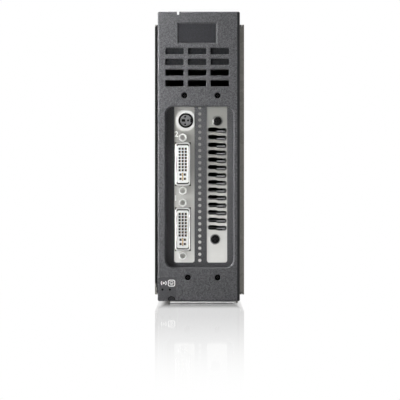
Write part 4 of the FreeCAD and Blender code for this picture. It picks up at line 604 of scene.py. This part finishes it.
# Jackscrews
# Four turned hex posts of zinc plated steel hold the video shells, each by a stud through the bracket.
# Their threaded bores in front take the screws of a plug.
JACK_HEIGHTS = (29.4 * MM, 62.4 * MM, 69.9 * MM, 102.9 * MM)
JACK_FLATS = 4.75 * MM
JACK_FRONT = -251.5 * MM
JACK_SEAT = -246.5 * MM
JACK_TIP = -240.5 * MM
JACK_BORE = 1.425 * MM
JACK_BORE_END = -248.4 * MM
JACK_DRILL_POINT = -247.2 * MM
JACK_STUD = 1.1 * MM
THREAD_PITCH = 0.6 * MM
THREAD_DEEP = 0.14 * MM
ROUND_STEPS = 48


def add_ring(bm, x, y, z, radius, flats=None):
    """A ring across Y, cut to a hexagon where flats gives its width."""
    ring = []
    for step in range(ROUND_STEPS):
        angle = 2 * math.pi * step / ROUND_STEPS
        reach = radius
        if flats:
            off_flat = (angle + math.pi / 6) % (math.pi / 3) - math.pi / 6
            reach = min(radius, flats / 2 / math.cos(off_flat))
        ring.append(bm.verts.new((x + reach * math.cos(angle), y, z + reach * math.sin(angle))))
    return ring


def add_jackscrew(bm, z):
    corner = 0.5 * MM
    crown = JACK_FLATS / 2 - 0.1 * MM
    point = 0.3 * MM
    point_long = 0.4 * MM
    mouth = 0.3 * MM
    mouth_deep = 0.35 * MM
    drill_tip = 0.1 * MM
    rings = [
        add_ring(bm, SOCKET_X, JACK_TIP, z, JACK_STUD - point),
        add_ring(bm, SOCKET_X, JACK_TIP - point_long, z, JACK_STUD),
        add_ring(bm, SOCKET_X, JACK_SEAT, z, JACK_STUD),
        add_ring(bm, SOCKET_X, JACK_SEAT, z, JACK_FLATS, JACK_FLATS),
        add_ring(bm, SOCKET_X, JACK_FRONT + corner, z, JACK_FLATS, JACK_FLATS),
        add_ring(bm, SOCKET_X, JACK_FRONT, z, crown),
        add_ring(bm, SOCKET_X, JACK_FRONT, z, JACK_BORE + mouth),
    ]
    y = JACK_FRONT + mouth_deep
    while y < JACK_BORE_END:
        rings.append(add_ring(bm, SOCKET_X, y, z, JACK_BORE))
        rings.append(add_ring(bm, SOCKET_X, y + THREAD_PITCH / 2, z, JACK_BORE + THREAD_DEEP))
        y += THREAD_PITCH
    rings.append(add_ring(bm, SOCKET_X, JACK_DRILL_POINT, z, drill_tip))
    join_rings(bm, rings)
    bm.faces.new(rings[0])
    bm.faces.new(rings[-1])


def shade_round(piece, sharpest):
    """Smooth shading but for edges sharper than the given angle."""
    piece.data.shade_smooth()
    piece.data.set_sharp_from_angle(angle=math.radians(sharpest))


jack_bm = bmesh.new()
for height in JACK_HEIGHTS:
    add_jackscrew(jack_bm, height)
jackscrews = new_piece("jackscrew_posts", jack_bm, zinc_plate, "chassis")
shade_round(jackscrews, 25)
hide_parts("video_jackscrews")

# Exhaust and bracket screws
# Black pan head screws with a cross recess: two on the vented bracket half, each on a plated washer, and
# four that clamp the bracket to the slot panel, deep behind the round holes of the bezel.
EXHAUST_SCREWS = ((11.07 * MM, 113.1 * MM), (9.67 * MM, 39.7 * MM))
BRACKET_SCREWS = (
    (-9.25 * MM, 128.95 * MM),
    (11.27 * MM, 128.95 * MM),
    (-7.25 * MM, 16.0 * MM),
    (11.27 * MM, 16.0 * MM),
)
SCREW_SHANK = 1.4 * MM
SCREW_POINT = 0.4 * MM
HEAD_TALL = 1.8 * MM


def add_pan_screw(bm, x, z, head, crown, seat, tip):
    """A pan head with a tapered cross recess and a plain shank, along Y with the crown in front."""
    tall = seat - crown
    arm = 0.56 * head
    arm_half = 0.15 * head
    recess = 0.75 * tall
    narrowed = 0.6
    rings = [
        add_ring(bm, x, tip, z, 0.7 * SCREW_SHANK),
        add_ring(bm, x, tip - SCREW_POINT, z, SCREW_SHANK),
        add_ring(bm, x, seat, z, SCREW_SHANK),
        add_ring(bm, x, seat, z, head),
        add_ring(bm, x, seat - 0.45 * tall, z, head),
        add_ring(bm, x, seat - 0.75 * tall, z, 0.93 * head),
        add_ring(bm, x, seat - 0.93 * tall, z, 0.82 * head),
        add_ring(bm, x, crown, z, 0.66 * head),
    ]
    join_rings(bm, rings)
    bm.faces.new(rings[0])
    mouth = add_cross_ring(bm, x, crown, z, arm, arm_half)
    floor = add_cross_ring(bm, x, crown + recess, z, narrowed * arm, narrowed * arm_half)
    join_rings(bm, [mouth, floor])
    bm.faces.new(floor)
    rims = []
    for ring in (rings[-1], mouth):
        for step, corner in enumerate(ring):
            rims.append(bm.edges.get((corner, ring[(step + 1) % len(ring)])))
    bmesh.ops.triangle_fill(bm, edges=rims, use_beauty=True)


def add_washer(bm, x, z, seat):
    """A thin washer under a screw head, its front rim eased."""
    bore = SCREW_SHANK + 0.1 * MM
    rim = 3.25 * MM
    thick = 0.35 * MM
    eased = 0.15 * MM
    section = (
        (seat, bore),
        (seat, rim),
        (seat - 0.6 * thick, rim),
        (seat - thick, rim - eased),
        (seat - thick, bore),
    )
    rings = [add_ring(bm, x, y, z, radius) for y, radius in section]
    join_rings(bm, rings + rings[:1])


def drive_screws(name, node, places, head, finish):
    low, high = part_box(node)
    bm = bmesh.new()
    for x, z in places:
        add_pan_screw(bm, x, z, head, crown=low.y, seat=low.y + HEAD_TALL, tip=high.y)
    screws = new_piece(name, bm, finish, "chassis")
    shade_round(screws, 35)
    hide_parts(node)


def lay_washers():
    bm = bmesh.new()
    for x, z in EXHAUST_SCREWS:
        add_washer(bm, x, z, BRACKET_FACE)
    washers = new_piece("exhaust_screw_washers", bm, washer_steel, "chassis")
    shade_round(washers, 50)


washer_steel = make_plated_steel(
    "washer_steel", (0.231, 0.231, 0.223), (0.323, 0.323, 0.315), 0.30, 0.42
)
black_oxide = make_plated_steel(
    "black_oxide", (0.006, 0.006, 0.006), (0.016, 0.016, 0.016), 0.30, 0.42
)
drive_screws("exhaust_pan_screws", "exhaust_screws", EXHAUST_SCREWS, 2.7 * MM, black_oxide)
drive_screws("bracket_pan_screws", "bracket_screws", BRACKET_SCREWS, 1.75 * MM, black_oxide)
lay_washers()

# Front bezel and button
# One moulding with finely speckled grey paint, held by screws from behind; a painted shade darkens its
# right edge.
# The half round button at its foot is bare black plastic.
EDGE_SHADE_START = 23.2 * MM
EDGE_SHADE_FADE = 0.3 * MM
BUTTON_RIM = 0.4 * MM
BUTTON_SHADE_FROM = 0.8 * MM


def make_speckled_plastic():
    skin_dark = (0.052, 0.052, 0.056)
    skin_light = (0.122, 0.122, 0.128)
    edge_painted_shade = (0.010, 0.010, 0.011)
    fleck = 0.55 * MM
    finish, tree, shader = start_finish("speckled_plastic", shine=0.2)
    flecks = grain(tree, fleck, detail=2.0)
    tint(tree, shader, flecks, skin_dark, skin_light)
    gloss(tree, shader, grain(tree, 8 * MM), 0.36, 0.46)
    relief(tree, shader, flecks, 0.05 * MM)
    # A painted shade darkens the bezel along its right edge.
    cover(finish, "X", EDGE_SHADE_START, EDGE_SHADE_START + EDGE_SHADE_FADE, edge_painted_shade)
    return finish


button_painted_shade = (0.006, 0.006, 0.006)
button_moulding = make_moulding(
    "button_moulding", (0.026, 0.026, 0.028), (0.044, 0.044, 0.047), 0.5 * MM, 0.40, 0.54, 0.01 * MM
)
button_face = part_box("press_button")[0].y
# Past its face, a painted shade darkens the button in the gap round it.
cover(button_moulding, "Y", button_face + BUTTON_RIM, button_face + BUTTON_SHADE_FROM, button_painted_shade)
dress(make_speckled_plastic(), 0.45 * MM, "front_bezel")
dress(button_moulding, 0.2 * MM, "press_button")
dress(zinc_plate, 0.1 * MM, "bezel_screws")

# Badge plate
# A bare satin plate of dark plastic in the shallow recess above the vents.
# It is cut from sheet and glued down.
dark_film = make_moulding(
    "dark_film", (0.027, 0.027, 0.029), (0.039, 0.039, 0.045), 0.5 * MM, 0.42, 0.56, 0.008 * MM
)
dress(dark_film, 0.15 * MM, "badge_plate")

# Indicator overlay
# A dark printed film in the lower left corner with two holes for the light pipes.
# Two plain pictograms stand over the holes: a beacon and a framed screen, in white ink.
OVERLAY_FACE = -255.2 * MM
INK_THICK = 0.05 * MM
BEACON = (-22.2 * MM, 12.65 * MM)
SCREEN = (-17.35 * MM, 12.6 * MM)
INK_LINE = 0.5 * MM
FINE_LINE = 0.35 * MM
RING_STEPS = 24
CORNER_STEPS = 6
WAVE_STEPS = 10


def add_ribbon(bm, points, width, closed):
    """A flat line of ink through points of the overlay's face."""
    count = len(points)
    left = []
    right = []
    for index, point in enumerate(points):
        before = points[index - 1] if closed or index else point
        after = points[(index + 1) % count] if closed or index < count - 1 else point
        run = Vector((after[0] - before[0], after[1] - before[1])).normalized()
        over = Vector((-run.y, run.x)) * width / 2
        left.append(bm.verts.new((point[0] + over.x, OVERLAY_FACE, point[1] + over.y)))
        right.append(bm.verts.new((point[0] - over.x, OVERLAY_FACE, point[1] - over.y)))
    last = count if closed else count - 1
    for index in range(last):
        after = (index + 1) % count
        bm.faces.new((left[index], left[after], right[after], right[index]))


def arc(middle, radius, start, end, steps):
    """Points on an arc, angles in degrees."""
    points = []
    for step in range(steps + 1):
        angle = math.radians(start + (end - start) * step / steps)
        points.append((middle[0] + radius * math.cos(angle), middle[1] + radius * math.sin(angle)))
    return points


def rounded_frame(middle, across, tall, corner):
    """Points round a frame with rounded corners."""
    points = []
    for turn, (side, up) in enumerate(((1, 1), (-1, 1), (-1, -1), (1, -1))):
        hub = (middle[0] + side * (across / 2 - corner), middle[1] + up * (tall / 2 - corner))
        points += arc(hub, corner, 90 * turn, 90 * turn + 90, CORNER_STEPS)
    return points


def print_pictogram(name, ribbons):
    bm = bmesh.new()
    for points, width, closed in ribbons:
        add_ribbon(bm, points, width, closed)
    ink = new_piece(name, bm, white_ink, "chassis")
    film = ink.modifiers.new("ink_film", "SOLIDIFY")
    film.thickness = INK_THICK
    film.offset = 0.0


def print_beacon():
    """A dot between two waves."""
    dot = 0.4 * MM
    wave = 1.55 * MM
    wave_half = 50
    last = 360 - 360 / RING_STEPS
    ribbons = [(arc(BEACON, dot, 0, last, RING_STEPS - 1), INK_LINE, True)]
    for facing in (0, 180):
        points = arc(BEACON, wave, facing - wave_half, facing + wave_half, WAVE_STEPS)
        ribbons.append((points, INK_LINE, False))
    print_pictogram("beacon_pictogram", ribbons)


def print_screen():
    """A screen and its foot in a frame."""
    x, z = SCREEN
    foot_half = 0.8 * MM
    foot_level = z - 1.0 * MM
    glass = (x, z + 0.25 * MM)
    outer_frame = rounded_frame(SCREEN, across=4.0 * MM, tall=3.7 * MM, corner=0.9 * MM)
    inner_frame = rounded_frame(glass, across=1.9 * MM, tall=1.2 * MM, corner=0.25 * MM)
    foot = ((x - foot_half, foot_level), (x + foot_half, foot_level))
    ribbons = [
        (outer_frame, INK_LINE, True),
        (inner_frame, FINE_LINE, True),
        (foot, FINE_LINE, False),
    ]
    print_pictogram("screen_pictogram", ribbons)


printed_film = make_moulding(
    "printed_film", (0.065, 0.065, 0.070), (0.091, 0.091, 0.095), 0.5 * MM, 0.42, 0.56, 0.008 * MM
)
dress(printed_film, 0.12 * MM, "indicator_overlay")
print_beacon()
print_screen()

# Indicator light pipes
# Two moulded rods of smoked plastic lead the light of the indicator board to the holes of the overlay.
# Unlit, they look black.


def make_smoked_rod():
    finish, tree, shader = start_finish("smoked_rod", shine=0.05)
    haze = grain(tree, 0.6 * MM)
    tint(tree, shader, haze, (0.004, 0.004, 0.005), (0.010, 0.010, 0.011))
    gloss(tree, shader, haze, 0.32, 0.44)
    return finish


dress(make_smoked_rod(), 0, "indicator_light_pipes")

# Edge strip
# A thin black painted strip on the front flange of the tray, at the left of the bezel.
# It is stepped at its lower end.


def make_black_paint():
    finish, tree, shader = start_finish("black_paint", shine=0.06)
    peel = grain(tree, 0.9 * MM, detail=3.0)
    tint(tree, shader, peel, (0.006, 0.006, 0.006), (0.014, 0.014, 0.014))
    gloss(tree, shader, peel, 0.30, 0.44)
    relief(tree, shader, peel, 0.02 * MM)
    return finish


dress(make_black_paint(), 0.2 * MM, "edge_strip")

# Pull tab
# A pale flat moulded tab that slides out from under the bezel, below the lips of the runner.
# Its head above the lips keeps it from falling out.
tab_moulding = make_moulding(
    "tab_moulding", (0.78, 0.78, 0.78), (0.88, 0.88, 0.88), 0.9 * MM, 0.36, 0.50, 0.006 * MM
)
dress(tab_moulding, 0.1 * MM, "pull_tab")

# Access cover with its latch
# The right wall is a sheet cover that slides back when its lever is swung out of the moulded dish.
# Raised ribs across the lever's free end give the finger a grip.
RIB_COUNT = 5
RIB_PITCH = 2.2 * MM
RIB_WIDE = 1.0 * MM
RIB_RISE = 0.22 * MM
RIB_SINK = 0.1 * MM
RIB_MARGIN = 5.0 * MM
RIB_STEPS = 8


def add_rib(bm, y, face, low, high):
    """One rounded rib across the lever."""
    rings = []
    for z in (low, high):
        ring = [bm.verts.new((face - RIB_SINK, y - RIB_WIDE / 2, z))]
        for step in range(RIB_STEPS + 1):
            angle = math.pi * step / RIB_STEPS
            out = face + RIB_RISE * math.sin(angle)
            ring.append(bm.verts.new((out, y - RIB_WIDE / 2 * math.cos(angle), z)))
        ring.append(bm.verts.new((face - RIB_SINK, y + RIB_WIDE / 2, z)))
        rings.append(ring)
    join_rings(bm, rings)
    for ring in rings:
        bm.faces.new(ring)


def grip_latch():
    low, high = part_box("cover_latch")
    bm = bmesh.new()
    for rib in range(RIB_COUNT):
        y = low.y + RIB_MARGIN + rib * RIB_PITCH
        add_rib(bm, y, high.x, low.z + RIB_MARGIN, high.z - RIB_MARGIN)
    ribs = new_piece("latch_grip_ribs", bm, latch_moulding, "latch")
    shade_round(ribs, 40)


latch_moulding = make_moulding(
    "latch_moulding", (0.040, 0.040, 0.044), (0.066, 0.066, 0.071), 0.6 * MM, 0.38, 0.54, 0.02 * MM
)
cover_sheet = make_zinc_sheet("cover_sheet", (0.160, 0.155, 0.141), (0.253, 0.246, 0.226))
dress(cover_sheet, 0.15 * MM, "access_cover")
dress(latch_moulding, 0.2 * MM, "latch_dish", "cover_latch")
dress(zinc_plate, 0, "latch_pin")
grip_latch()

# Floor, light and camera
# A pale polished floor that mirrors the foot of the blade and fades to white, under soft studio light.
# The long lens stands square to the front, level with the middle of the picture.
FLOOR_REACH = 12.0
FLOOR_SHADE_GREY = (0.08, 0.08, 0.08, 1)
FLOOR_WHITE = (1, 1, 1, 1)
FLOOR_POLISH = 0.03
MIRROR_SHARE = 0.32
MIRROR_LINE = -0.30
MIRROR_START = 0.05
MIRROR_END = 0.70
SHADE_SHARE = 0.95
SHADE_END = 0.085
SHADE_TIGHT = 17.0
AMBIENT = 0.03
GREY_WALL = 0.75
BACKDROP_EDGE = -0.15
HALF_DEPTH = 255.5 * MM
SHADE_HALF = 20 * MM
CAMERA_PLACE = (0.3 * MM, -1855.5 * MM, 64.1 * MM)
CAMERA_LENS = 232.5


def calculate(tree, operation, first, second):
    """One arithmetic step; each input is a number or another node's result."""
    step = tree.nodes.new("ShaderNodeMath")
    step.operation = operation
    for socket, value in zip(step.inputs, (first, second)):
        if isinstance(value, float):
            socket.default_value = value
        else:
            tree.links.new(value, socket)
    return step.outputs[0]


def floor_place(tree):
    """The two coordinates of a place on the floor."""
    geometry = tree.nodes.new("ShaderNodeNewGeometry")
    place = tree.nodes.new("ShaderNodeSeparateXYZ")
    tree.links.new(geometry.outputs["Position"], place.inputs["Vector"])
    return place.outputs["X"], place.outputs["Y"]


def away_from_foot(tree, x, y):
    """How far a place is off the blade's foot, counted more beside the foot than at its ends."""
    off_end = calculate(tree, "SUBTRACT", calculate(tree, "ABSOLUTE", y, 0.0), HALF_DEPTH)
    off_side = calculate(tree, "SUBTRACT", calculate(tree, "ABSOLUTE", x, 0.0), SHADE_HALF)
    return calculate(tree, "MAXIMUM", off_end, calculate(tree, "MULTIPLY", off_side, SHADE_TIGHT))


def fading(tree, distance, start, end, share):
    """A share that is full up to start and gone at end."""
    fade = tree.nodes.new("ShaderNodeMapRange")
    fade.interpolation_type = "SMOOTHSTEP"
    fade.inputs["From Min"].default_value = start
    fade.inputs["From Max"].default_value = end
    fade.inputs["To Min"].default_value = share
    fade.inputs["To Max"].default_value = 0.0
    tree.links.new(distance, fade.inputs["Value"])
    return fade.outputs["Result"]


def make_floor_finish():
    """White to the eye and in mirrors, with a painted contact shade round the foot and a mirror that
    fades.
    """
    finish = bpy.data.materials.new("pale_floor")
    finish.use_nodes = True
    tree = finish.node_tree
    tree.nodes.clear()
    matt = tree.nodes.new("ShaderNodeBsdfDiffuse")
    matt.inputs["Color"].default_value = FLOOR_SHADE_GREY
    white = tree.nodes.new("ShaderNodeEmission")
    mirror = tree.nodes.new("ShaderNodeBsdfGlossy")
    mirror.inputs["Color"].default_value = FLOOR_WHITE
    mirror.inputs["Roughness"].default_value = FLOOR_POLISH
    lit = tree.nodes.new("ShaderNodeMixShader")
    polished = tree.nodes.new("ShaderNodeMixShader")
    output = tree.nodes.new("ShaderNodeOutputMaterial")
    path = tree.nodes.new("ShaderNodeLightPath").outputs
    x, y = floor_place(tree)
    # The shade round the foot is painted by distance from the foot, not cast.
    painted_shade = fading(tree, away_from_foot(tree, x, y), 0.0, SHADE_END, SHADE_SHARE)
    plain = calculate(tree, "SUBTRACT", 1.0, painted_shade)
    looked_at = calculate(tree, "MAXIMUM", path["Is Camera Ray"], path["Is Transmission Ray"])
    seen = calculate(tree, "MAXIMUM", looked_at, path["Is Glossy Ray"])
    brightness = calculate(tree, "MULTIPLY", seen, plain)
    off_line = calculate(tree, "ABSOLUTE", calculate(tree, "SUBTRACT", y, MIRROR_LINE), 0.0)
    polish = fading(tree, off_line, MIRROR_START, MIRROR_END, MIRROR_SHARE)
    tree.links.new(brightness, lit.inputs["Fac"])
    tree.links.new(matt.outputs["BSDF"], lit.inputs[1])
    tree.links.new(white.outputs["Emission"], lit.inputs[2])
    tree.links.new(polish, polished.inputs["Fac"])
    tree.links.new(lit.outputs["Shader"], polished.inputs[1])
    tree.links.new(mirror.outputs["BSDF"], polished.inputs[2])
    tree.links.new(polished.outputs["Shader"], output.inputs["Surface"])
    return finish


def lay_floor():
    bm = bmesh.new()
    bmesh.ops.create_grid(bm, x_segments=2, y_segments=2, size=FLOOR_REACH)
    mesh = bpy.data.meshes.new("studio_floor")
    bm.to_mesh(mesh)
    bm.free()
    mesh.materials.append(make_floor_finish())
    floor = bpy.data.objects.new("studio_floor", mesh)
    bpy.context.scene.collection.objects.link(floor)


def light_room():
    """A dim room with a white backdrop; mirrors see the backdrop or the grey wall behind the lens."""
    world = bpy.data.worlds.new("studio")
    world.use_nodes = True
    tree = world.node_tree
    glow = tree.nodes["Background"]
    glow.inputs["Color"].default_value = FLOOR_WHITE
    path = tree.nodes.new("ShaderNodeLightPath").outputs
    toward = tree.nodes.new("ShaderNodeTexCoord")
    heading = tree.nodes.new("ShaderNodeSeparateXYZ")
    tree.links.new(toward.outputs["Generated"], heading.inputs["Vector"])
    backward = calculate(tree, "GREATER_THAN", heading.outputs["Y"], BACKDROP_EDGE)
    wall = calculate(tree, "MAXIMUM", backward, GREY_WALL)
    mirrored = calculate(tree, "MULTIPLY", path["Is Glossy Ray"], wall)
    looked_at = calculate(tree, "MAXIMUM", path["Is Camera Ray"], path["Is Transmission Ray"])
    white = calculate(tree, "MAXIMUM", looked_at, mirrored)
    level = calculate(tree, "MAXIMUM", white, AMBIENT)
    tree.links.new(level, glow.inputs["Strength"])
    bpy.context.scene.world = world


def hang_lamp(name, place, target, size, power, spread=180):
    """A soft box that faces its target; a narrow spread is a grid in front of it."""
    lamp = bpy.data.lights.new(name, "AREA")
    lamp.shape = "RECTANGLE"
    lamp.size, lamp.size_y = size
    lamp.energy = power
    lamp.spread = math.radians(spread)
    holder = bpy.data.objects.new(name, lamp)
    holder.location = place
    holder.rotation_euler = (Vector(target) - Vector(place)).to_track_quat("-Z", "Y").to_euler()
    bpy.context.scene.collection.objects.link(holder)


def stand_camera():
    lens = bpy.data.cameras.new("front_lens")
    lens.lens = CAMERA_LENS
    camera = bpy.data.objects.new("front_camera", lens)
    camera.location = CAMERA_PLACE
    camera.rotation_euler = (math.radians(90), 0, 0)
    bpy.context.scene.collection.objects.link(camera)
    bpy.context.scene.camera = camera


lay_floor()
light_room()
hang_lamp(
    "key_strip", place=(-0.428, -0.764, 0.285), target=(-0.110, -HALF_DEPTH, 0.285),
    size=(0.10, 0.50), power=0.59, spread=24,
)
hang_lamp(
    "top_lamp", place=(-0.35, -0.75, 0.75), target=(0, -HALF_DEPTH, 0.10),
    size=(0.25, 0.25), power=0.9,
)
hang_lamp(
    "low_card", place=(0, -1.30, 0.009), target=(0, -HALF_DEPTH, 0.03),
    size=(0.50, 0.016), power=0.40,
)
hang_lamp(
    "left_lamp", place=(-0.80, -0.45, 0.45), target=(0, -HALF_DEPTH, 0.09),
    size=(0.20, 0.20), power=7.0,
)
hang_lamp(
    "rim_lamp", place=(-0.62, -0.29, 0.66), target=(0.012, -HALF_DEPTH, 0.06),
    size=(0.16, 0.16), power=0.72, spread=45,
)
hang_lamp(
    "right_fill", place=(1.30, 0.60, 1.40), target=(0, 0, 0.09),
    size=(0.80, 0.80), power=32.0,
)
hang_lamp(
    "back_fill", place=(-0.50, 1.40, 1.50), target=(0, 0.2, 0.09),
    size=(0.80, 0.80), power=24.0,
)
stand_camera()
bpy.context.scene.view_settings.view_transform = "Standard"
